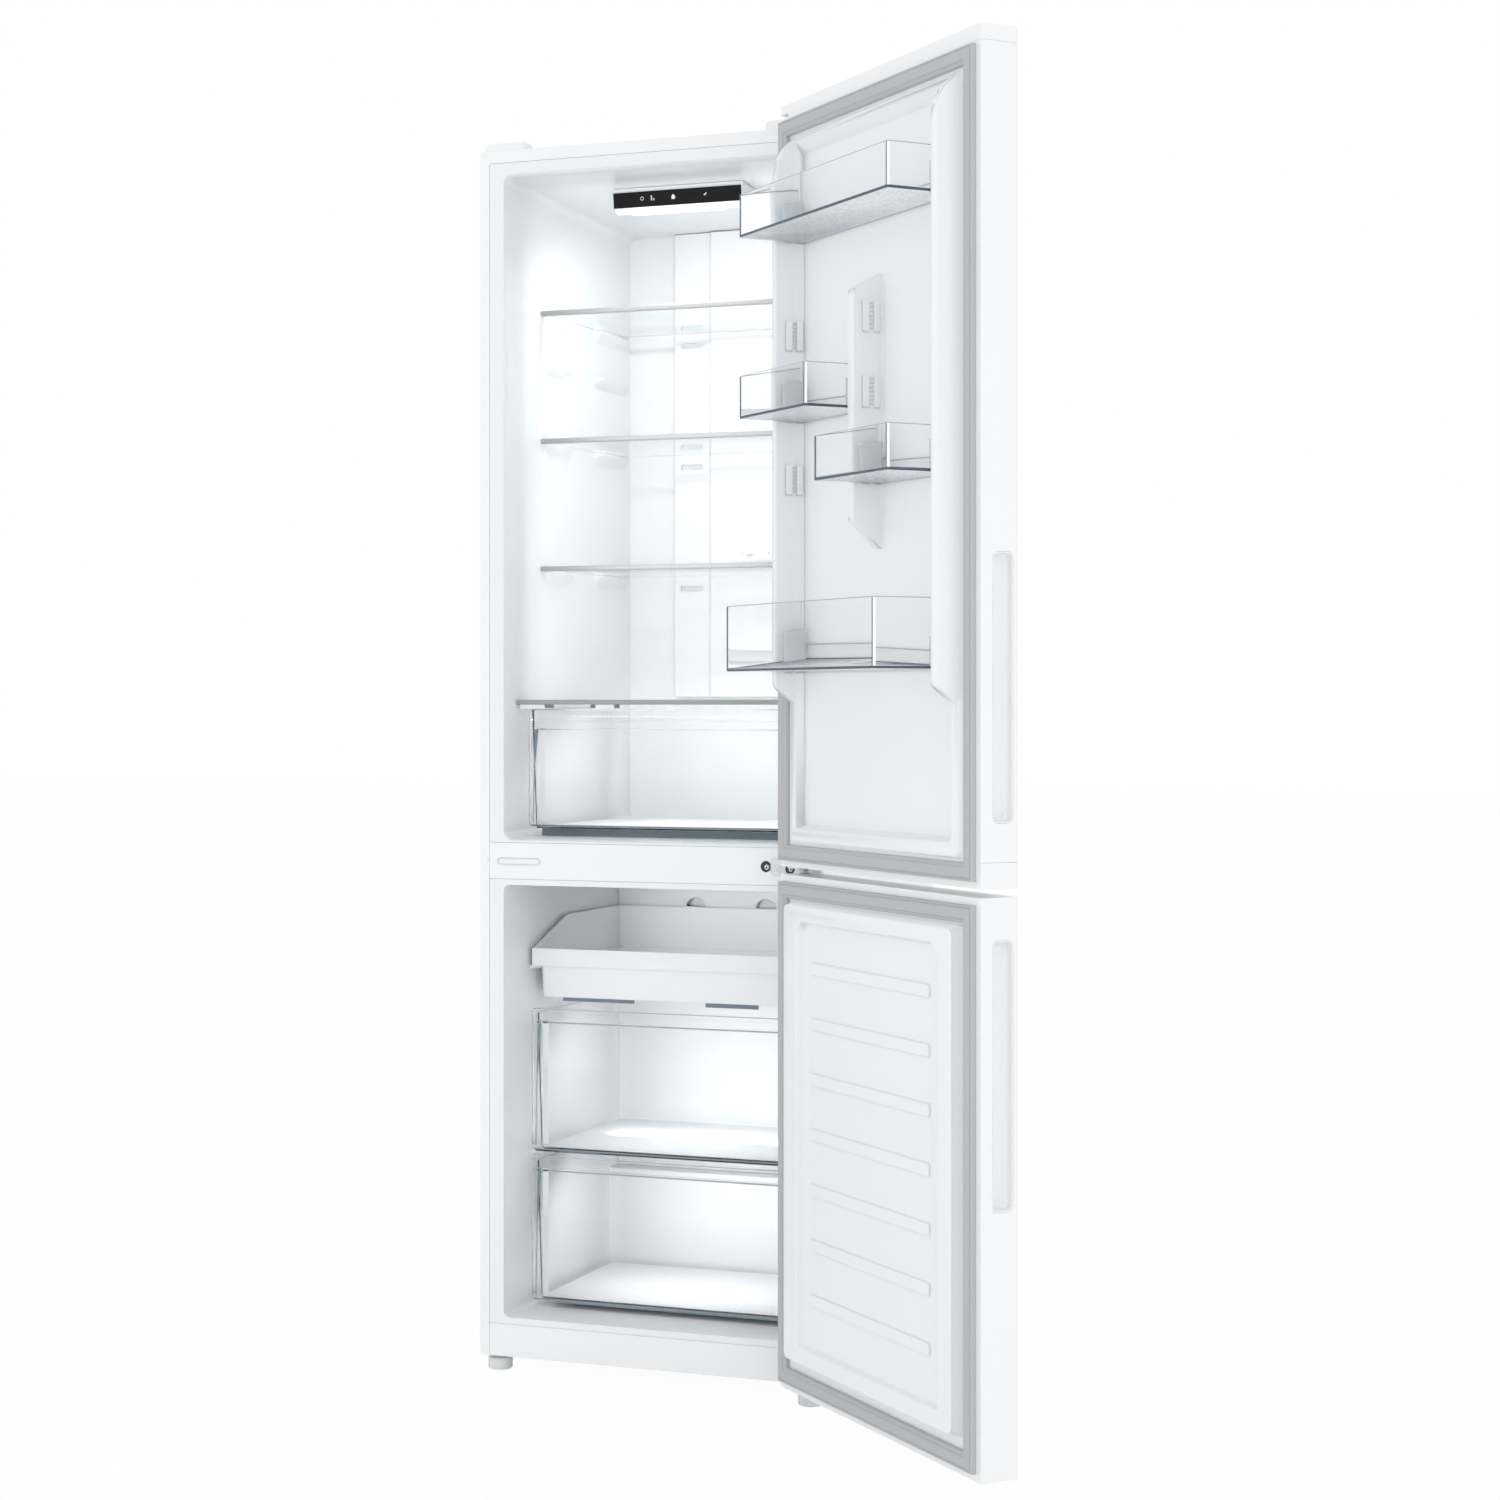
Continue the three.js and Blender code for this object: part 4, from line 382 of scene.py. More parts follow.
# each finish: its maker, a colour or the setting that holds it, then what else the maker takes
FINISHES = {
    "painted_steel": (grained, "steel", 0.32, 420, 0.03, {"Coat_Weight": 0.15, "Coat_Roughness": 0.2}),
    "white_plastic": (grained, "plastic", 0.42, 1500, 0.03),
    "liner": (grained, "liner", 0.3, 120, 0.05, {"Coat_Weight": 0.1, "Coat_Roughness": 0.25}),
    "seal": (grained, "seal", 0.6, 700, 0.05, {"shade": 0.06}),
    "shelf_trim": (grained, "trim", 0.4, 900, 0.03),
    "clear_plastic": (see_through, "clear", 0.0, 25, 0.01, {"ior": CLEAR_IOR}),
    # dimples painted lighter or darker as glints and shade
    "frosted_plastic": (dimpled, (0.66, 0.71, 0.76), (0.96, 0.98, 1.0)),
    # painted shade on the dark bottom edges and upright corners of the clear bins
    "plastic_edge_shade": (grained, "edge", 0.2, 300, 0.05, {"shade": 0.5}),
    # dark grey-blue; on the clear edges and in the gaps it is painted shade
    "plastic_line": (grained, (0.16, 0.205, 0.25), 0.25, 300, 0.03, {"shade": 0.4}),
    # painted grey shade along the rims and edges of clear mouldings
    "plastic_rim_shade": (grained, (0.40, 0.44, 0.48), 0.25, 300, 0.03, {"shade": 0.2}),
    # painted teal shade in the gaps under the drawers and on the slanted inner lines of the clear fronts
    "teal_painted_shade": (grained, (0.23, 0.31, 0.36), 0.3, 300, 0.03, {"shade": 0.5}),
    # painted shade on white ribs and outlines, and painted shadow under the hook tabs
    "soft_painted_shade": (grained, (0.64, 0.655, 0.67), 0.45, 900, 0.03),
    # painted highlight on the corners of clear mouldings
    "plastic_corner_highlight": (grained, (0.90, 0.91, 0.92), 0.25, 300, 0.03),
    # clear plastic with a grey painted shade, for the pockets seen through several walls
    "shaded_clear_plastic": (see_through, (0.74, 0.775, 0.80), 0.1, 300, 0.1, CLEAR_IOR, 0.93, 0.6),
    "shelf_glass": (see_through, (0.93, 0.975, 0.965), 0.01, 8, 0.02, {"ior": 1.5}),
    "milky_plastic": (grained, (0.86, 0.88, 0.89), 0.35, 800, 0.03, {"Transmission_Weight": 0.25}),
    "drawer_floor": (grained, (0.80, 0.812, 0.82), 0.5, 800, 0.03, {"Transmission_Weight": 0.04}),
    "black_glass": (grained, "panel", 0.3, 300, 0.01, {"Specular_IOR_Level": 0.15}),
    "panel_print": (grained, (0.78, 0.79, 0.80), 0.5, 900, 0.01),
    "lamp_lens": (glowing, (1.0, 1.0, 1.0), 1.6),
    "zinc": (masked_metal, spangle_group, (0.52, 0.53, 0.54), (0.70, 0.71, 0.72), 0.35),
    "bright_steel": (masked_metal, streak_group, (0.55, 0.56, 0.57), (0.80, 0.80, 0.80), 0.12),
    "aluminium": (masked_metal, streak_group, (0.66, 0.67, 0.68), (0.84, 0.85, 0.86), 0.3),
    "copper": (masked_metal, streak_group, (0.50, 0.25, 0.14), (0.78, 0.44, 0.30), 0.25),
    "black_paint": (grained, (0.016, 0.017, 0.019), 0.38, 300, 0.1, {"shade": 0.3}),
    "rubber": (grained, (0.02, 0.02, 0.022), 0.75, 900, 0.1, {"shade": 0.3}),
    "foam": (grained, (0.78, 0.68, 0.42), 0.95, 260, 1.0, {"shade": 0.2}),
    "grey_plastic": (grained, (0.30, 0.32, 0.33), 0.5, 1200, 0.03),
    "foot_plastic": (grained, (0.74, 0.75, 0.755), 0.45, 1200, 0.03),
    # painted shade inside holes and recesses
    "recess_shade": (grained, (0.03, 0.03, 0.032), 0.6, 600, 0.02),
}


def finish(name):
    """The material of that finish, made when it is first asked for."""
    label = f"{name}_finish"
    if label in bpy.data.materials:
        return bpy.data.materials[label]
    maker, base, *values = FINISHES[name]
    options = values.pop() if isinstance(values[-1], dict) else {}
    if isinstance(base, str):
        base = getattr(finishes(), base)
    return maker(label, base, *values, **options)


# ---------------------------------------------------------------- meshes


def finished(obj, body, replaced=()):
    """Parents a finished piece to its body's empty and hides the nodes it replaces."""
    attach(obj, body)
    if replaced:
        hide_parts(*replaced)


def piece(name, vertices, faces, materials, body, place=PLACE, replaced=(), faces_of=None, soft=40):
    """A new object from millimetre vertices. faces_of gives each face's material index."""
    mesh = bpy.data.meshes.new(name)
    mesh.from_pydata([Vector(v) for v in vertices], [], faces)
    for label in materials:
        mesh.materials.append(finish(label))
    if faces_of:
        mesh.polygons.foreach_set("material_index", faces_of)
    settle(name, mesh, body, place, replaced, soft)


def settle(name, mesh, body, place=PLACE, replaced=(), soft=40):
    """Turns the faces outward, shades the mesh and puts it in the row frame."""
    work = bmesh.new()
    work.from_mesh(mesh)
    bmesh.ops.recalc_face_normals(work, faces=work.faces)
    if work.calc_volume(signed=True) < 0:
        bmesh.ops.reverse_faces(work, faces=work.faces)
    work.to_mesh(mesh)
    work.free()
    mesh.transform(place)
    mesh.shade_smooth()
    mesh.set_sharp_from_angle(angle=math.radians(soft))
    obj = bpy.data.objects.new(name, mesh)
    bpy.context.scene.collection.objects.link(obj)
    finished(obj, body, replaced)


def edge_room(edge):
    """How wide a rounding the faces beside an edge leave room for."""
    start, end = (vertex.co for vertex in edge.verts)
    along = (end - start).normalized()
    room = math.inf
    for face in edge.link_faces:
        for vertex in face.verts:
            offset = vertex.co - start
            distance = (offset - along * offset.dot(along)).length
            if distance > 1e-6:
                room = min(room, distance)
    return room


# edges sharper than the first angle are rounded, those above the second stay sharp in the shading
ROUNDED_ANGLE = math.radians(40)
SHARP_ANGLE = math.radians(50)
# how much of the room beside an edge its rounding takes at most
ROOM_SHARE = 0.42


def rounded(node, material, radius, segments=3, least=0, extra=(), faces_of=None):
    """Stands for a node: the same shape with its edges rounded where there is more room than the least."""
    mesh = frame["nodes"][node].data.copy()
    work = bmesh.new()
    work.from_mesh(mesh)
    bmesh.ops.remove_doubles(work, verts=work.verts, dist=1e-5)
    bmesh.ops.dissolve_limit(
        work, angle_limit=math.radians(0.1), verts=work.verts, edges=work.edges, delimit={"NORMAL"}
    )
    weights = work.edges.layers.float.new("bevel_weight_edge")
    for edge in work.edges:
        if len(edge.link_faces) == 2 and edge.calc_face_angle(0) > ROUNDED_ANGLE:
            room = edge_room(edge)
            edge[weights] = min(1.0, ROOM_SHARE * room / radius) if room > least else 0.0
    for face in work.faces:
        face.smooth = True
        face.material_index = faces_of(face) if faces_of else 0
    mesh.materials.clear()
    for label in (material, *extra):
        mesh.materials.append(finish(label))
    work.to_mesh(mesh)
    work.free()
    obj = bpy.data.objects.new(f"{node}_finish", mesh)
    bpy.context.scene.collection.objects.link(obj)
    bevel = obj.modifiers.new("rounding", "BEVEL")
    bevel.limit_method = "WEIGHT"
    bevel.width = radius
    bevel.segments = segments
    bevel.use_clamp_overlap = False
    bevel.miter_outer = "MITER_ARC"
    baked(obj)
    obj.data.set_sharp_from_angle(angle=SHARP_ANGLE)
    weighted = obj.modifiers.new("shading", "WEIGHTED_NORMAL")
    weighted.keep_sharp = True
    baked(obj)
    finished(obj, NODE_BODY[node], (node,))


def baked(obj):
    """Applies every modifier."""
    evaluated = obj.evaluated_get(bpy.context.evaluated_depsgraph_get())
    mesh = bpy.data.meshes.new_from_object(evaluated)
    obj.modifiers.clear()
    obj.data = mesh
    return obj


def dress(node, material):
    """Keeps a CAD node and gives it a finish."""
    for entry in frame["nodes"][node].material_slots:
        entry.link = "OBJECT"
        entry.material = finish(material)


def corner_ring(u0, v0, u1, v1, radii, steps):
    """Points of a rectangle with rounded corners, from the low corner round by u first."""
    points = []
    corners = ((u0, v0, 1, 1, 180), (u1, v0, -1, 1, 270), (u1, v1, -1, -1, 0), (u0, v1, 1, -1, 90))
    for (u, v, su, sv, start), radius in zip(corners, radii):
        for k in range(steps + 1):
            angle = math.radians(start + 90 * k / steps)
            across, up = polar(radius, angle)
            points.append((u + su * radius + across, v + sv * radius + up))
    return points


def loft_faces(ring_count, points, closed=False):
    """Quads between successive rings; the ends are capped unless the skin closes on itself."""
    faces = []
    last = ring_count if closed else ring_count - 1
    for k in range(last):
        a, b = k * points, ((k + 1) % ring_count) * points
        for i in range(points):
            j = (i + 1) % points
            faces.append((a + i, a + j, b + j, b + i))
    if not closed:
        faces.append(tuple(range(points - 1, -1, -1)))
        faces.append(tuple(range((ring_count - 1) * points, ring_count * points)))
    return faces


BOX_FACES = ((0, 3, 2, 1), (4, 5, 6, 7), (0, 1, 5, 4), (1, 2, 6, 5), (2, 3, 7, 6), (3, 0, 4, 7))


def box_points(x0, x1, y0, y1, z0, z1):
    ring = ((x0, y0), (x1, y0), (x1, y1), (x0, y1))
    return [(x, y, z) for z in (z0, z1) for x, y in ring]


def add(vertices, faces, points, made):
    """Adds points to a piece, and faces that count from the first of them."""
    start = len(vertices)
    vertices.extend(points)
    faces.extend(tuple(start + i for i in face) for face in made)


def polar(radius, angle):
    return radius * math.cos(angle), radius * math.sin(angle)


# ---------------------------------------------------------------- repeats by Geometry Nodes


def row_tree(name, size, material):
    """Copies of a small block in a row from each point of a mesh: count, step, block and finish."""
    tree = bpy.data.node_groups.new(name, "GeometryNodeTree")
    socket(tree, "Geometry", "NodeSocketGeometry", "INPUT")
    socket(tree, "Geometry", "NodeSocketGeometry", "OUTPUT")
    socket(tree, "Count", "NodeSocketInt", "INPUT", 5)
    socket(tree, "Step", "NodeSocketVector", "INPUT", (0, 0, 5))
    start, end = tree.nodes.new("NodeGroupInput"), tree.nodes.new("NodeGroupOutput")
    line = tree.nodes.new("GeometryNodeMeshLine")
    line.mode = "OFFSET"
    block = tree.nodes.new("GeometryNodeMeshCube")
    block.inputs["Size"].default_value = size
    row = tree.nodes.new("GeometryNodeInstanceOnPoints")
    rows = tree.nodes.new("GeometryNodeInstanceOnPoints")
    real = tree.nodes.new("GeometryNodeRealizeInstances")
    painted = tree.nodes.new("GeometryNodeSetMaterial")
    painted.inputs["Material"].default_value = finish(material)
    for source, target in (
        (start.outputs["Count"], line.inputs["Count"]),
        (start.outputs["Step"], line.inputs["Offset"]),
        (line.outputs[0], row.inputs["Points"]),
        (block.outputs["Mesh"], row.inputs["Instance"]),
        (start.outputs["Geometry"], rows.inputs["Points"]),
        (row.outputs[0], rows.inputs["Instance"]),
        (rows.outputs[0], real.inputs[0]),
        (real.outputs[0], painted.inputs["Geometry"]),
        (painted.outputs[0], end.inputs[0]),
    ):
        tree.links.new(source, target)
    return tree


def rows_of_blocks(name, starts, count, step, size, material, body, place):
    """A piece made of rows of small blocks, one row from each start."""
    mesh = bpy.data.meshes.new(name)
    mesh.from_pydata([Vector(p) for p in starts], [], [])
    obj = bpy.data.objects.new(f"{name}_rows", mesh)
    bpy.context.scene.collection.objects.link(obj)
    tree = row_tree(f"{name}_tree", size, material)
    modifier = obj.modifiers.new("rows", "NODES")
    modifier.node_group = tree
    values = {"Count": count, "Step": step}
    for item in tree.interface.items_tree:
        if item.in_out == "INPUT" and item.name in values:
            modifier[item.identifier] = values[item.name]
    result = baked(obj).data
    result.materials.clear()
    result.materials.append(finish(material))
    result.polygons.foreach_set("material_index", [0] * len(result.polygons))
    bpy.data.objects.remove(obj)
    settle(name, result, body, place)


# ---------------------------------------------------------------- operators


class PieceOperator:
    """What every operator here shares."""

    bl_options = {"REGISTER", "UNDO"}

    def execute(self, context):
        self.build(sizes())
        return {"FINISHED"}


class OBJECT_OT_cabinet(PieceOperator, bpy.types.Operator):
    """Cabinet skin, rails, covers and rear panel"""

    bl_idname = "refrigerator.cabinet"
    bl_label = "Cabinet"

    def build(self, s):
        rounded("cabinet_shell", "painted_steel", s.fold)
        rounded("rear_panel", "painted_steel", s.small, segments=2)
        rounded("middle_rail", "white_plastic", s.small)
        rounded("base_plate", "painted_steel", s.small)
        for node in ("top_hinge_cover", "hinge_seat_cover"):
            rounded(node, "white_plastic", s.moulding)
        for level in ("top", "middle", "bottom"):
            rounded(f"{level}_hinge_bracket", "zinc", s.small, segments=2)
        dress("insulation_foam", "foam")


class OBJECT_OT_linings(PieceOperator, bpy.types.Operator):
    """Fridge and freezer liners with what is fixed to them"""

    bl_idname = "refrigerator.linings"
    bl_label = "Linings"

    def build(self, s):
        rounded("fridge_liner", "liner", 2.5 * MM)
        rounded("freezer_liner", "liner", 2.5 * MM)
        rounded("air_duct_panel", "liner", s.moulding)
        rounded("freezer_back_panel", "liner", s.small)


class OBJECT_OT_shelves(PieceOperator, bpy.types.Operator):
    """Glass shelves, their trims and the crisper's cover"""

    bl_idname = "refrigerator.shelves"
    bl_label = "Shelves"

    def build(self, s):
        for k in (1, 2, 3):
            rounded(f"shelf_glass_{k}", "shelf_glass", s.small, segments=2)
            rounded(f"shelf_trim_{k}", "shelf_trim", s.small)
            self.rear_trim(k)
        rounded("crisper_cover_glass", "shelf_glass", s.small, segments=2)
        rounded("crisper_cover_trim", "shelf_trim", s.small)
        rounded("freezer_glass_shelf", "shelf_glass", s.small, segments=2)
        rounded("egg_tray", "milky_plastic", s.small, segments=2)

    def rear_trim(self, k):
        low, high = extent(f"shelf_glass_{k}")
        points = box_points(low.x + 2, high.x - 2, high.y - 9, high.y - 0.4, high.z + 0.2, high.z + 5)
        piece(f"shelf_rear_trim_{k}", points, BOX_FACES, ["milky_plastic"], "cabinet")


class OBJECT_OT_controls(PieceOperator, bpy.types.Operator):
    """Control housing, black glass with its symbols, and the lamp"""

    bl_idname = "refrigerator.controls"
    bl_label = "Controls"

    def build(self, s):
        rounded("control_housing", "white_plastic", s.moulding)
        rounded("control_glass", "black_glass", 0.4 * MM)
        rounded("lamp_lens", "lamp_lens", 0.4 * MM)
        self.symbols()

    def symbols(self):
        low, high = extent("control_glass")
        middle = (low.z + high.z) / 2 + 1
        tilt = (high.y - low.y - 2) / (high.z - low.z)
        vertices, faces = [], []

        face_y = low.y - 0.05 + (high.z - middle) * tilt

        def plate(outline, x, size):
            points = [
                (x + u * size, face_y - depth - v * size * tilt, middle + v * size)
                for depth in (0, 0.4)
                for u, v in outline
            ]
            add(vertices, faces, points, loft_faces(2, len(outline)))

        def ring_segments(count, inner):
            for k in range(count):
                a, b = 2 * math.pi * k / count, 2 * math.pi * (k + 0.72) / count
                yield [polar(inner, a), polar(1, a), polar(1, b), polar(inner, b)]

        bar = [(-0.2, -1), (0.2, -1), (0.2, 1), (-0.2, 1)]
        drop = [(-0.7, -0.9), (0.7, -0.9), (0.7, 0.1), (0, 0.9), (-0.7, 0.1)]
        tick = [(-0.8, 0), (-0.3, -0.6), (0.8, 0.7), (0.5, 0.9), (-0.3, 0), (-0.6, 0.25)]
        for outline in ring_segments(8, 0.7):
            plate(outline, low.x + 52, 3.2)
        plate(bar, low.x + 69, 4)
        plate(bar[:2] + [(0.2, -0.2), (-0.2, -0.2)], low.x + 73, 4)
        plate(drop, low.x + 108, 4.5)
        plate(tick, low.x + 165, 3.5)
        piece("control_symbols", vertices, faces, ["panel_print"], "cabinet")


class OBJECT_OT_drawers(PieceOperator, bpy.types.Operator):
    """Crisper and freezer drawers"""

    bl_idname = "refrigerator.drawers"
    bl_label = "Drawers"

    def build(self, s):
        rounded("freezer_top_drawer", "white_plastic", s.small)
        for node, rim in CLEAR_DRAWERS:
            floor = (extent(node)[0].z + FLOOR_HEIGHT) * MM
            rounded(
                node, "clear_plastic", s.small, extra=("drawer_floor",),
                faces_of=lambda face: int(abs(face.normal.z) > 0.9 and face.calc_center_median().z < floor),
            )
            self.front_lines(node, rim)
        self.shadow_strips()
        low, high = extent("crisper_drawer")
        pitch = (high.x - low.x - 40) / s.dots
        rows_of_blocks(
            "crisper_dots", [(low.x + 20, low.y + 8.4, high.z - 12)], s.dots, (pitch, 0, 0), (1.6, 0.8, 1.6),
            "white_plastic", "crisper", PLACE,
        )

    def front_lines(self, node, rim):
        """Lines painted on a clear front: painted shade along its edges, dark or grey where light leaves them, and
        painted highlights on its corner posts.
        """
        low, high = extent(node)
        crisper = node == "crisper_drawer"
        front = low.y + 9
        x0, x1, z0, z1 = low.x, high.x, low.z + (4 if crisper else 0), high.z
        middle = (x0 + x1) / 2
        vertices, faces, shades = [], [], []

        def plate(outline, depth, shade):
            made = loft_faces(2, len(outline))
            add(vertices, faces, [(x, y, z) for y in depth for x, z in outline], made)
            shades.extend([shade] * len(made))

        def bar(inset, za, zb, depth, shade):
            xa, xb = x0 + inset, x1 - inset
            plate([(xa, za), (xb, za), (xb, zb), (xa, zb)], depth, shade)

        skin, inside = (front - 0.12, front + 0.4), (front + 9, front + 11)
        foot, head = z0 + 5, z1 - rim
        tail = head - 0.42 * (head - foot)
        # the bottom, top and inner rim bars are painted shade along the front's edges
        bar(4, z0 + 0.1, z0 + (2.8 if crisper else 2.0), skin, 0 if crisper else 2)
        bar(4, z1 - 1.5, z1 - 0.1, skin, 1)
        bar(17, head - 1.2, head, inside, 1)
        # painted shade on the outer upright edges and the slanted inner lines, and painted highlights on the
        # corner posts
        strips = (
            ([(0.1, z0 + 6), (1.5, z0 + 6), (1.5, z1 - 6), (0.1, z1 - 6)], skin, 1),
            ([(7, head), (13, head), (6.5, tail), (5, tail)], inside, 2),
            ([(5, tail), (6.5, tail), (4, foot), (2.6, foot)], inside, 1),
            ([(17, foot + 4), (27, foot + 4), (27, head), (17, head)], inside, 3),
        )
        for side in (1, -1):
            for outline, depth, shade in strips:
                mirrored = [(middle - side * (middle - x0 - offset), z) for offset, z in outline]
                plate(mirrored, depth, shade)
        materials = ["plastic_line", "plastic_rim_shade", "teal_painted_shade", "plastic_corner_highlight"]
        piece(f"{node}_lines", vertices, faces, materials, NODE_BODY[node], faces_of=shades)

    def shadow_strips(self):
        """Dark strips painted as the shadows in the gaps under the drawers and at the freezer's glass shelf, and
        the crisper cover's clips.
        """
        for name, body, shade, boxes in STRIPS:
            points, faces = [], []
            for box in boxes:
                add(points, faces, box_points(*box), BOX_FACES)
            piece(name, points, faces, [shade], body)


# each clear drawer with how far its inner rim lies below the top
CLEAR_DRAWERS = (("crisper_drawer", 33), ("freezer_middle_drawer", 24), ("freezer_bottom_drawer", 24))
# level faces up to this height above the drawer's underside are its floor
FLOOR_HEIGHT = 12
# name, body, finish, and boxes as x, y and z from low to high
STRIPS = (
    # the first four pieces are dark sheets painted where there is only shadow in the gaps
    ("crisper_gap_shadow", "cabinet", "teal_painted_shade", ((66, 534, 100, 102, 880.5, 892.4),)),
    ("freezer_gap_shadow", "cabinet", "teal_painted_shade", ((100, 534, 88, 90, 102, 106.4),)),
    (
        "top_drawer_gap_shadow", "freezer_drawer_top", "plastic_line",
        ((111, 239, 86, 88, 606, 612), (366, 458, 86, 88, 605, 612)),
    ),
    ("glass_shelf_gap_shadow", "cabinet", "plastic_line", ((104, 178, 86.4, 87, 353, 357),)),
    (
        "crisper_cover_clips", "cabinet", "white_plastic",
        ((52, 96, 45, 53, 1093, 1099.4), (188, 221, 45, 53, 1093, 1099.4)),
    ),
    (
        "crisper_cover_catches", "cabinet", "plastic_line",
        ((96, 110, 46, 52, 1094, 1099.4), (179, 188, 46, 52, 1094, 1099.4), (221, 228, 46, 52, 1094, 1099.4)),
    ),
)


# top of a bin's hooks over its underside, their gap to the bin, and the top of the spare row
HOOK_HEIGHT = 45
HOOK_INSET = 1.9
SPARE_HOOKS = 1688
# the seal's section: distance in from the outer edge, and height
SEAL_PROFILE = (
    (0, 0), (0, 6.4), (0.5, 7.6), (1.6, 8.2), (2.6, 7.9), (3.2, 7.2), (3.9, 7.2), (4.6, 8.6), (6, 9.7),
    (8, 9.9), (17, 9.9), (18.6, 9.5), (19.4, 8.4), (20.2, 7.3), (21.2, 7), (22.6, 7.1), (23.8, 6.4),
    (24.6, 5), (25, 3.2), (25, 0),
)


class OBJECT_OT_doors(PieceOperator, bpy.types.Operator):
    """Door skins, caps, linings, grips and seals"""

    bl_idname = "refrigerator.doors"
    bl_label = "Doors"

    def build(self, s):
        for door in ("upper", "lower"):
            rounded(f"{door}_door_shell", "painted_steel", s.fold)
            rounded(f"{door}_door_lining", "liner", s.moulding, least=4 * MM)
            rounded(f"{door}_door_grip", "white_plastic", s.small)
            dress(f"{door}_door_foam", "foam")
        rounded("upper_door_top_cap", "white_plastic", s.fold)
        rounded("upper_door_bottom_cap", "white_plastic", s.fold)
        self.seal("upper", UPPER)
        self.seal("lower", LOWER)

    def seal(self, door, place):
        """A moulded profile with mitred corners."""
        low, high = extent(f"{door}_door_gasket", place)
        scale = (high.y - low.y) / max(h for _, h in SEAL_PROFILE)
        vertices = []
        for right, top in ((0, 0), (1, 0), (1, 1), (0, 1)):
            for across, height in SEAL_PROFILE:
                x = high.x - across if right else low.x + across
                z = high.z - across if top else low.z + across
                vertices.append((x, low.y + height * scale, z))
        piece(
            f"{door}_door_seal", vertices, loft_faces(4, len(SEAL_PROFILE), closed=True), ["seal"],
            f"{door}_door", place, (f"{door}_door_gasket",), soft=38,
        )


# sides of a bin's ring at its upright corners painted dark as shade and the one painted bright as a highlight, and
# the width of its painted dark strip
DARK_CORNERS = {0, 1, 2, 3, 4, 5, 20, 21, 22, 24, 25}
BRIGHT_CORNER = {26, 27, 28, 29}
CORNER_STRIP = 4.4
BIN_NODES = ("door_bin_upper", "door_bin_hinge_side", "door_bin_free_side", "door_bin_bottle")


class OBJECT_OT_bins(PieceOperator, bpy.types.Operator):
    """Clear bins on the upper door, with the pockets that take their hooks"""

    bl_idname = "refrigerator.bins"
    bl_label = "Door bins"

    def build(self, s):
        for node in BIN_NODES:
            self.bin(node, s.bin_wall / MM)
            self.pockets(node)

    def ring(self, low, high, inset, corner, z, rear_z):
        """One ring of the bin's wall; behind the step near the rear it runs lower."""
        radii = [max(0.6, 3 - inset)] * 2 + [max(1, corner - inset)] * 2
        points = corner_ring(low.x + inset, low.y + inset, high.x - inset, high.y - inset, radii, 6)
        step = low.y + 5.5
        ring = []
        for k, (x, y) in enumerate(points):
            ring.append((x, y, rear_z if y < step else z))
            if k == 13:
                ring.extend(((high.x - inset, step - 0.1, rear_z), (high.x - inset, step + 0.1, z)))
            if k == 20:
                ring.append((x - CORNER_STRIP, y, z))
            if k == 27:
                ring.extend(((low.x + inset, step + 0.1, z), (low.x + inset, step - 0.1, rear_z)))
        return ring

    def bin(self, node, wall):
        low, high = extent(node, UPPER)
        corner, lip, floor = 4, 8, 3
        rear = low.z + 24
        levels = (
            (1.2, low.z, low.z),
            (0.0, low.z + 1.2, low.z + 1.2),
            (0.0, low.z + 3.6, low.z + 3.6),
            (0.0, high.z - 1.6, rear - 1.6),
            (0.0, high.z - 0.6, rear - 0.6),
            (0.6, high.z, rear),
            (wall - 0.9, high.z, rear),
            (wall - 0.5, high.z - 0.6, rear - 0.6),
            (wall - 0.5, high.z - lip, rear - 4),
            (wall, high.z - lip - 0.6, rear - 4.6),
            (wall, low.z + floor + 2.5, low.z + floor + 2.5),
            (wall + 0.8, low.z + floor + 0.8, low.z + floor + 0.8),
            (wall + 2.5, low.z + floor, low.z + floor),
        )
        rings = [self.ring(low, high, inset, corner, z, rear_z) for inset, z, rear_z in levels]
        n = len(rings[0])
        faces = loft_faces(len(rings), n)
        faces_of = [self.shade(*divmod(k, n)) for k in range((len(rings) - 1) * n)] + [3, 0]
        vertices = [point for ring in rings for point in ring]
        piece(
            f"{node}_moulding", vertices, faces,
            ["clear_plastic", "plastic_edge_shade", "plastic_corner_highlight", "frosted_plastic", "plastic_rim_shade"],
            "upper_door", UPPER, (node,), faces_of,
        )

    @staticmethod
    def shade(band, side):
        """Painted shade along the bottom edges and upright corners, where light leaves clear plastic, a painted
        highlight on one upright corner, and a painted grey shade line at the rim.
        """
        if band < 2 or (band == 2 and side in DARK_CORNERS):
            return 1
        if band == 2 and side in BRIGHT_CORNER:
            return 2
        return 4 if band in (3, 4) else 0

    def pockets(self, node):
        low, high = extent(node, UPPER)
        top, wall = low.z + HOOK_HEIGHT, 1.2
        vertices, faces = [], []
        foot, y0, y1 = low.z + 3.2, low.y + 3, low.y + 38
        for x0, x1 in ((low.x + 2.7, low.x + 14), (high.x - 14, high.x - 2.7)):
            outer = corner_ring(x0, y0, x1, y1, [2] * 4, 3)
            inner = corner_ring(x0 + wall, y0 + wall, x1 - wall, y1 - wall, [1] * 4, 3)
            rings = ((inner, top - wall), (inner, foot), (outer, foot), (outer, top))
            points = [(x, y, z) for ring, z in rings for x, y in ring]
            add(vertices, faces, points, loft_faces(4, len(outer)))
        # the pockets' grey is painted shade
        piece(f"{node}_pockets", vertices, faces, ["shaded_clear_plastic"], "upper_door", UPPER)


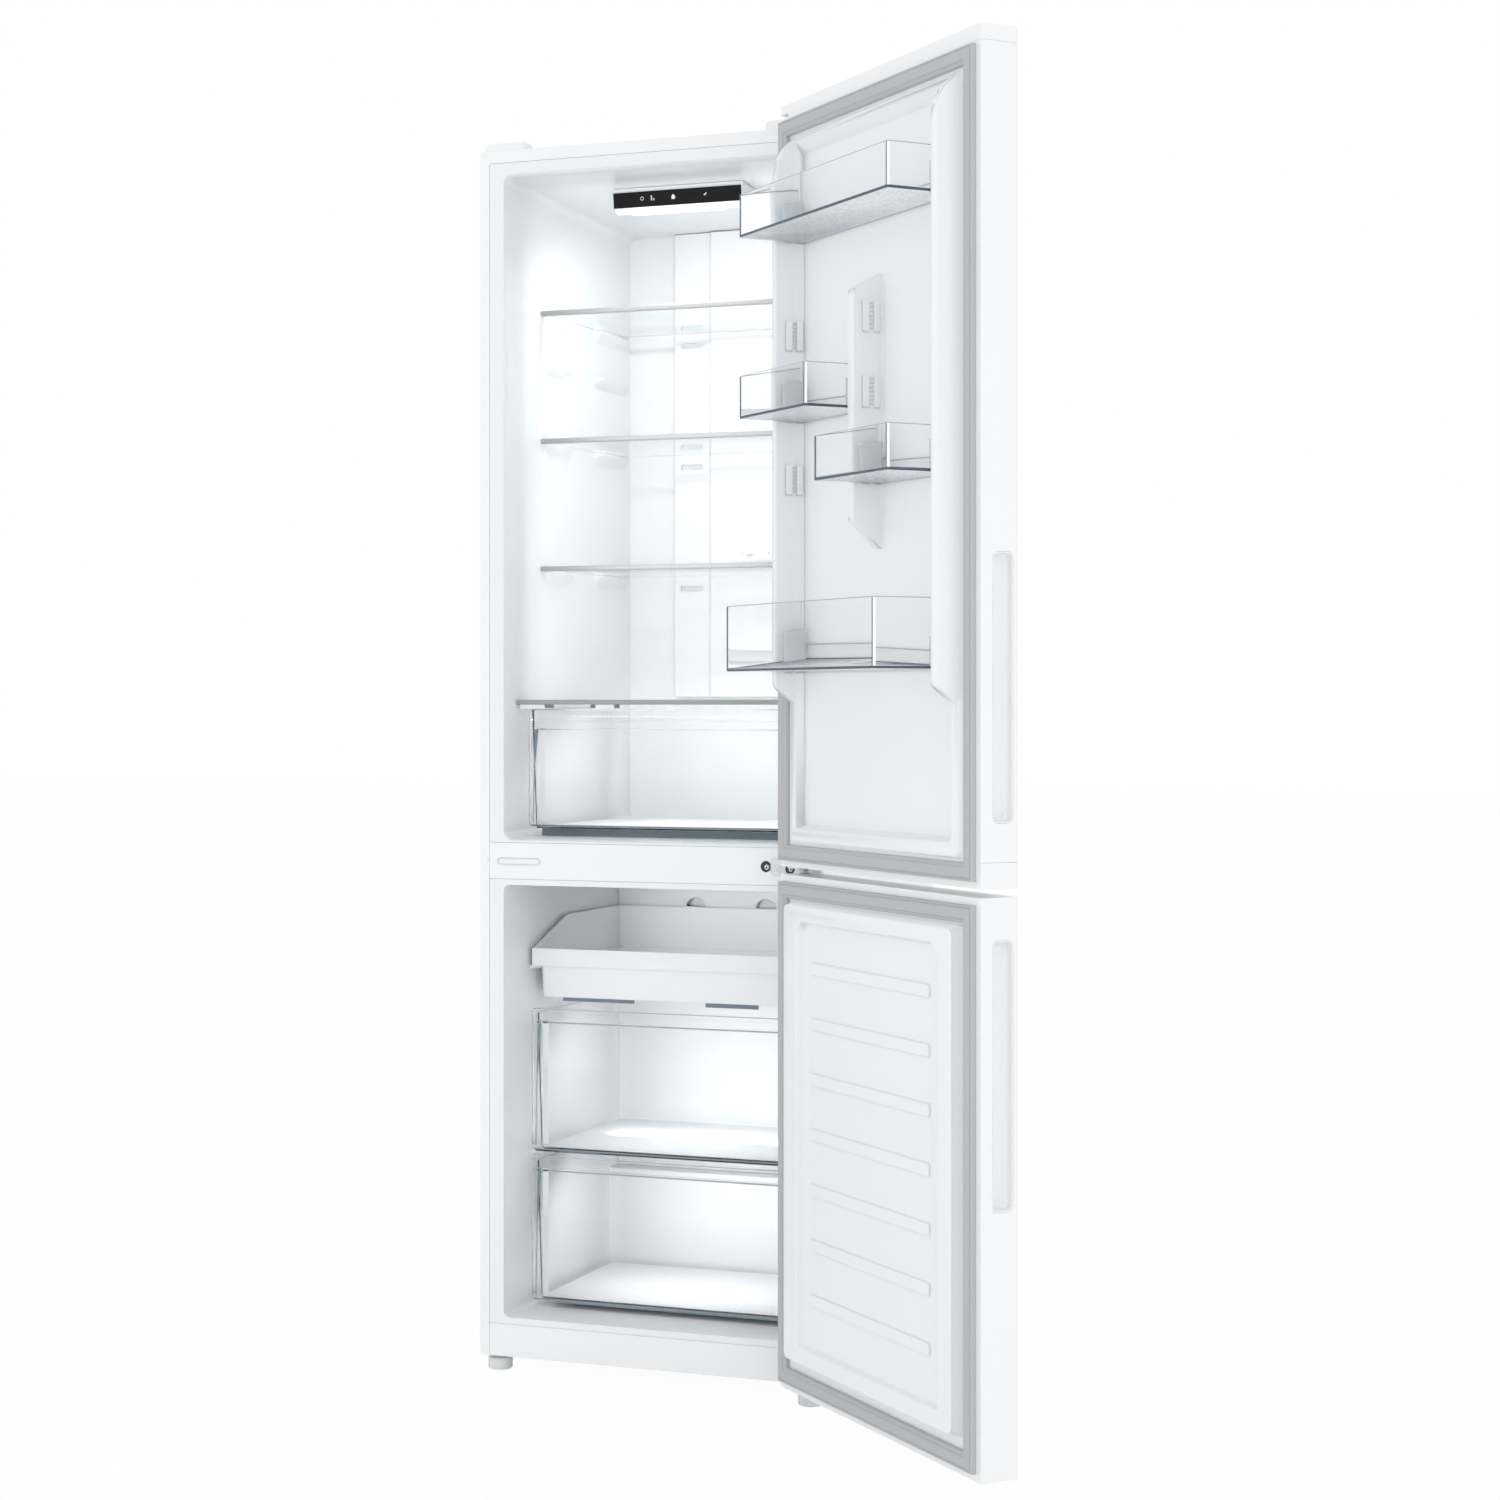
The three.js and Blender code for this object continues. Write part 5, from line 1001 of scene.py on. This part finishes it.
class OBJECT_OT_fasteners(PieceOperator, bpy.types.Operator):
    """Screws, plugs and the ribs across the bin hooks"""

    bl_idname = "refrigerator.fasteners"
    bl_label = "Fasteners"

    def build(self, s):
        low, high = extent("middle_rail")
        self.screw("rail_screw", high.x - 79.7, low.y, low.z + 29.8, 9.0)
        self.screw("hinge_screw", high.x - 38, low.y - 3.3, low.z + 26.9, 8.0)
        self.rail_slot(low)
        plug = ((5.2, 0.0), (5.2, -0.6), (5.2 * 0.75, -1.3))
        self.disc("seam_plug", 10.5, 0, low.z + 30.5, plug, "white_plastic", "white_plastic")
        self.hook_ribs(s.teeth)

    def hook_ribs(self, count):
        """Short ribs across the bins' hooks on the side beads and the fin, painted grey as their shade, and a grey
        strip under each hook's tabs painted as their shadow.
        """
        upper, bottle, free_side, hinge_side = (
            extent(f"door_bin_{place}", UPPER) for place in ("upper", "bottle", "free_side", "hinge_side")
        )
        beads = (upper[0].x - HOOK_INSET, upper[1].x + HOOK_INSET)
        fin = (free_side[1].x + HOOK_INSET, hinge_side[0].x - HOOK_INSET)
        wide = [low.z + HOOK_HEIGHT for low, _ in (upper, bottle)]
        narrow = [low.z + HOOK_HEIGHT for low, _ in (free_side, hinge_side)]
        starts = []
        for tops, sides in ((wide, beads), (narrow + [SPARE_HOOKS], beads + fin)):
            for top in tops:
                starts.extend((x, -2, top - HOOK_HEIGHT + 4) for x in sides)
        step = (HOOK_HEIGHT - 8) / (count - 1)
        # a grey strip painted as the shadow under each hook's tabs
        feet = [(x, y, z - 5.2) for x, _, z in starts for y in (-11, 7.5)]
        for name, points, number, rise, size in (
            ("hook_ribs", starts, count, step, (3.4, 8, 1.4)),
            ("hook_tab_shadows", feet, 1, 1, (3.2, 10.5, 1.8)),
        ):
            rows_of_blocks(
                name, points, number, (0, 0, rise), size, "soft_painted_shade", "upper_door", UPPER
            )

    def rail_slot(self, low):
        """The raised outline of the long slot in the middle rail, painted grey as the shade along it."""
        x0, x1, z0, z1 = 32, 109, low.z + 23.5, low.z + 34.5
        outer = corner_ring(x0, z0, x1, z1, [5.5] * 4, 5)
        inner = corner_ring(x0 + 1.3, z0 + 1.3, x1 - 1.3, z1 - 1.3, [4.2] * 4, 5)
        rings = ((inner, 0.0), (inner, -0.5), (outer, -0.5), (outer, 0.0))
        vertices = [(x, low.y + out, z) for ring, out in rings for x, z in ring]
        faces = loft_faces(4, len(outer), closed=True)
        piece("rail_slot", vertices, faces, ["soft_painted_shade"], "cabinet")

    def screw(self, name, x, y, z, radius):
        """A pan head with a cross recess painted dark as its shade, seated on a dark disc painted as the shade in
        its hole.
        """
        self.disc(f"{name}_hole", x, y, z, ((radius, 0.1), (radius, -0.2)), "recess_shade", "zinc")
        head = radius * 0.46
        # the head sits off centre, so that the painted shade in the hole shows as a crescent
        cx, cz = x + radius * 0.16, z - radius * 0.1
        profile = ((head, 0.0), (head, -0.6), (head * 0.8, -1.5), (head * 0.4, -1.9))
        self.disc(f"{name}_head", cx, y, cz, profile, "bright_steel", "zinc")
        arm, long = head * 0.14, head * 0.62
        points, faces = [], []
        for wide, high in ((arm, long), (long, arm)):
            bar = box_points(cx - wide, cx + wide, y - 2.05, y - 1.2, cz - high, cz + high)
            add(points, faces, bar, BOX_FACES)
        piece(f"{name}_recess", points, faces, ["recess_shade"], "cabinet")

    def disc(self, name, x, y, z, profile, material, slot, sides=24):
        rings = []
        for radius, out in profile:
            for k in range(sides):
                across, up = polar(radius, 2 * math.pi * k / sides)
                rings.append((x + across, y + out, z + up))
        piece(name, rings, loft_faces(len(profile), sides), [material], "cabinet")


class OBJECT_OT_machine(PieceOperator, bpy.types.Operator):
    """Compressor, tubes and trays in the machine space, evaporator, fan, rollers and feet"""

    bl_idname = "refrigerator.machine"
    bl_label = "Machine space"

    def build(self, s):
        rounded("compressor", "black_paint", s.small)
        rounded("compressor_tray", "zinc", s.small, segments=2)
        rounded("drip_tray", "grey_plastic", s.small)
        for k in (1, 2, 3, 4):
            rounded(f"compressor_mount_{k}", "rubber", s.small, segments=2)
        for node, material in (
            ("refrigerant_tubes", "copper"),
            ("rear_rollers", "grey_plastic"),
            ("foot_left", "foot_plastic"),
            ("foot_right", "foot_plastic"),
        ):
            rounded(node, material, s.small, segments=2)
        dress("evaporator", "aluminium")
        dress("evaporator_fan", "grey_plastic")


class OBJECT_OT_stage(PieceOperator, bpy.types.Operator):
    """Pale floor, white surroundings, lights and the camera"""

    bl_idname = "refrigerator.stage"
    bl_label = "Stage"

    def build(self, s):
        self.floor()
        self.world()
        self.lights()
        self.camera()
        bpy.context.scene.view_settings.view_transform = "Standard"

    def white_for_camera(self, tree, surface, share, kind="Emission"):
        """Mixes plain white into what the camera, glossy and clear surfaces see."""
        path = tree.nodes.new("ShaderNodeLightPath")
        seen = math_node(tree, "MAXIMUM", path.outputs["Is Camera Ray"], path.outputs["Is Glossy Ray"])
        seen = math_node(tree, "MAXIMUM", seen, path.outputs["Is Transmission Ray"])
        white = tree.nodes.new(f"ShaderNode{kind}")
        white.inputs["Color"].default_value = (1, 1, 1, 1)
        mix = tree.nodes.new("ShaderNodeMixShader")
        tree.links.new(math_node(tree, "MULTIPLY", seen, share), mix.inputs[0])
        tree.links.new(surface, mix.inputs[1])
        tree.links.new(white.outputs[0], mix.inputs[2])
        return mix.outputs[0]

    def floor(self):
        half = 30
        corners = [(-half, -half, 0), (half, -half, 0), (half, half, 0), (-half, half, 0)]
        mesh = bpy.data.meshes.new("floor")
        mesh.from_pydata(corners, [], [(0, 1, 2, 3)])
        material, tree, shader = new_material("studio_floor")
        shader.inputs["Base Color"].default_value = (0.95, 0.95, 0.95, 1)
        shader.inputs["Roughness"].default_value = 0.9
        surface = self.white_for_camera(tree, shader.outputs[0], 0.96)
        tree.links.new(surface, tree.nodes["Material Output"].inputs["Surface"])
        mesh.materials.append(material)
        floor = bpy.data.objects.new("floor", mesh)
        bpy.context.scene.collection.objects.link(floor)

    def world(self):
        world = bpy.data.worlds.new("studio")
        world.use_nodes = True
        bpy.context.scene.world = world
        tree = world.node_tree
        light = tree.nodes["Background"]
        light.inputs["Color"].default_value = (0.97, 0.985, 1.0, 1)
        light.inputs["Strength"].default_value = 0.94
        surface = self.white_for_camera(tree, light.outputs[0], 1.0, "Background")
        tree.links.new(surface, tree.nodes["World Output"].inputs["Surface"])

    def area_light(self, name, size, power, location, rotation, spread=180):
        data = bpy.data.lights.new(name, "AREA")
        data.shape = "RECTANGLE"
        data.size, data.size_y = size
        data.spread = math.radians(spread)
        data.energy = power
        lamp = bpy.data.objects.new(name, data)
        bpy.context.scene.collection.objects.link(lamp)
        lamp.location = location
        lamp.rotation_euler = rotation
        return lamp

    def lights(self):
        """Three broad lights in the room, the fridge's own lamp, and what the white compartments spread."""
        middle = PLACE @ Vector((WIDTH / 2, 0, TOP / 2))
        for name, offset, side, power in (
            ("front_light", (0.3, -4.2, 0.2), 3.0, 12),
            ("left_light", (-3.4, -2.4, 0.6), 2.4, 12),
            ("right_light", (3.0, -3.0, 0.4), 2.4, 15),
        ):
            turn = (-Vector(offset)).to_track_quat("-Z", "Y").to_euler()
            self.area_light(name, (side, side), power, middle + Vector(offset), turn)

        low, high = extent("lamp_lens")
        below = PLACE @ Vector(((low.x + high.x) / 2, high.y + 20, low.z - 12))
        self.area_light("ceiling_lamp", ((high.x - low.x) * MM, 0.03), 0.6, below, (math.radians(20), 0, 0))

        # neither the camera nor a mirror sees these
        for name, place, size, tilt, spread, power in (
            ("fridge_fill", (WIDTH / 2, 60, 1470), (0.36, 0.84), 90, 180, 1.22),
            ("crisper_fill", (WIDTH / 2, 220, 1075), (0.38, 0.28), 20, 180, 0.62),
            ("top_drawer_fill", (WIDTH / 2, 95, 740), (0.40, 0.09), 90, 50, 0.08),
            ("middle_drawer_fill", (WIDTH / 2, 210, 572), (0.34, 0.24), 30, 180, 0.60),
            ("bottom_drawer_fill", (WIDTH / 2, 200, 326), (0.34, 0.22), 40, 180, 0.95),
        ):
            turn = (math.radians(tilt), 0, 0)
            lamp = self.area_light(name, size, power, PLACE @ Vector(place), turn, spread)
            lamp.visible_camera = lamp.visible_glossy = lamp.visible_transmission = False

    def camera(self):
        image_side, focal_px, horizon_px, sensor = 1500, 2732.93, 701.27, 36
        data = bpy.data.cameras.new("photo_camera")
        data.sensor_width = sensor
        data.lens = sensor * focal_px / image_side
        data.shift_y = (horizon_px - image_side / 2) / image_side
        data.clip_end = 100
        camera = bpy.data.objects.new("photo_camera", data)
        bpy.context.scene.collection.objects.link(camera)
        camera.location = PLACE @ Vector((2001.75, -4067.66, 1105.03))
        camera.rotation_euler = (math.radians(90), 0, math.radians(20.5615))
        bpy.context.scene.camera = camera


class VIEW3D_PT_refrigerator(bpy.types.Panel):
    """Lists the pieces and their settings"""

    bl_label = "Refrigerator"
    bl_space_type = "VIEW_3D"
    bl_region_type = "UI"
    bl_category = "Refrigerator"

    def draw(self, context):
        for group in (context.scene.refrigerator_finishes, context.scene.refrigerator_sizes):
            box = self.layout.box()
            for label in group.__annotations__:
                box.prop(group, label)
        for operator in OPERATORS:
            self.layout.operator(operator.bl_idname)


OPERATORS = (
    OBJECT_OT_cabinet,
    OBJECT_OT_linings,
    OBJECT_OT_shelves,
    OBJECT_OT_controls,
    OBJECT_OT_drawers,
    OBJECT_OT_doors,
    OBJECT_OT_bins,
    OBJECT_OT_fasteners,
    OBJECT_OT_machine,
    OBJECT_OT_stage,
)
CLASSES = (RefrigeratorFinishes, RefrigeratorSizes, *OPERATORS, VIEW3D_PT_refrigerator)


def register():
    for cls in CLASSES:
        bpy.utils.register_class(cls)
    bpy.types.Scene.refrigerator_finishes = PointerProperty(type=RefrigeratorFinishes)
    bpy.types.Scene.refrigerator_sizes = PointerProperty(type=RefrigeratorSizes)


def unregister():
    del bpy.types.Scene.refrigerator_sizes
    del bpy.types.Scene.refrigerator_finishes
    for cls in reversed(CLASSES):
        bpy.utils.unregister_class(cls)


def main():
    register()
    for operator in OPERATORS:
        group, action = operator.bl_idname.split(".")
        getattr(getattr(bpy.ops, group), action)()


if __name__ == "__main__":
    main()
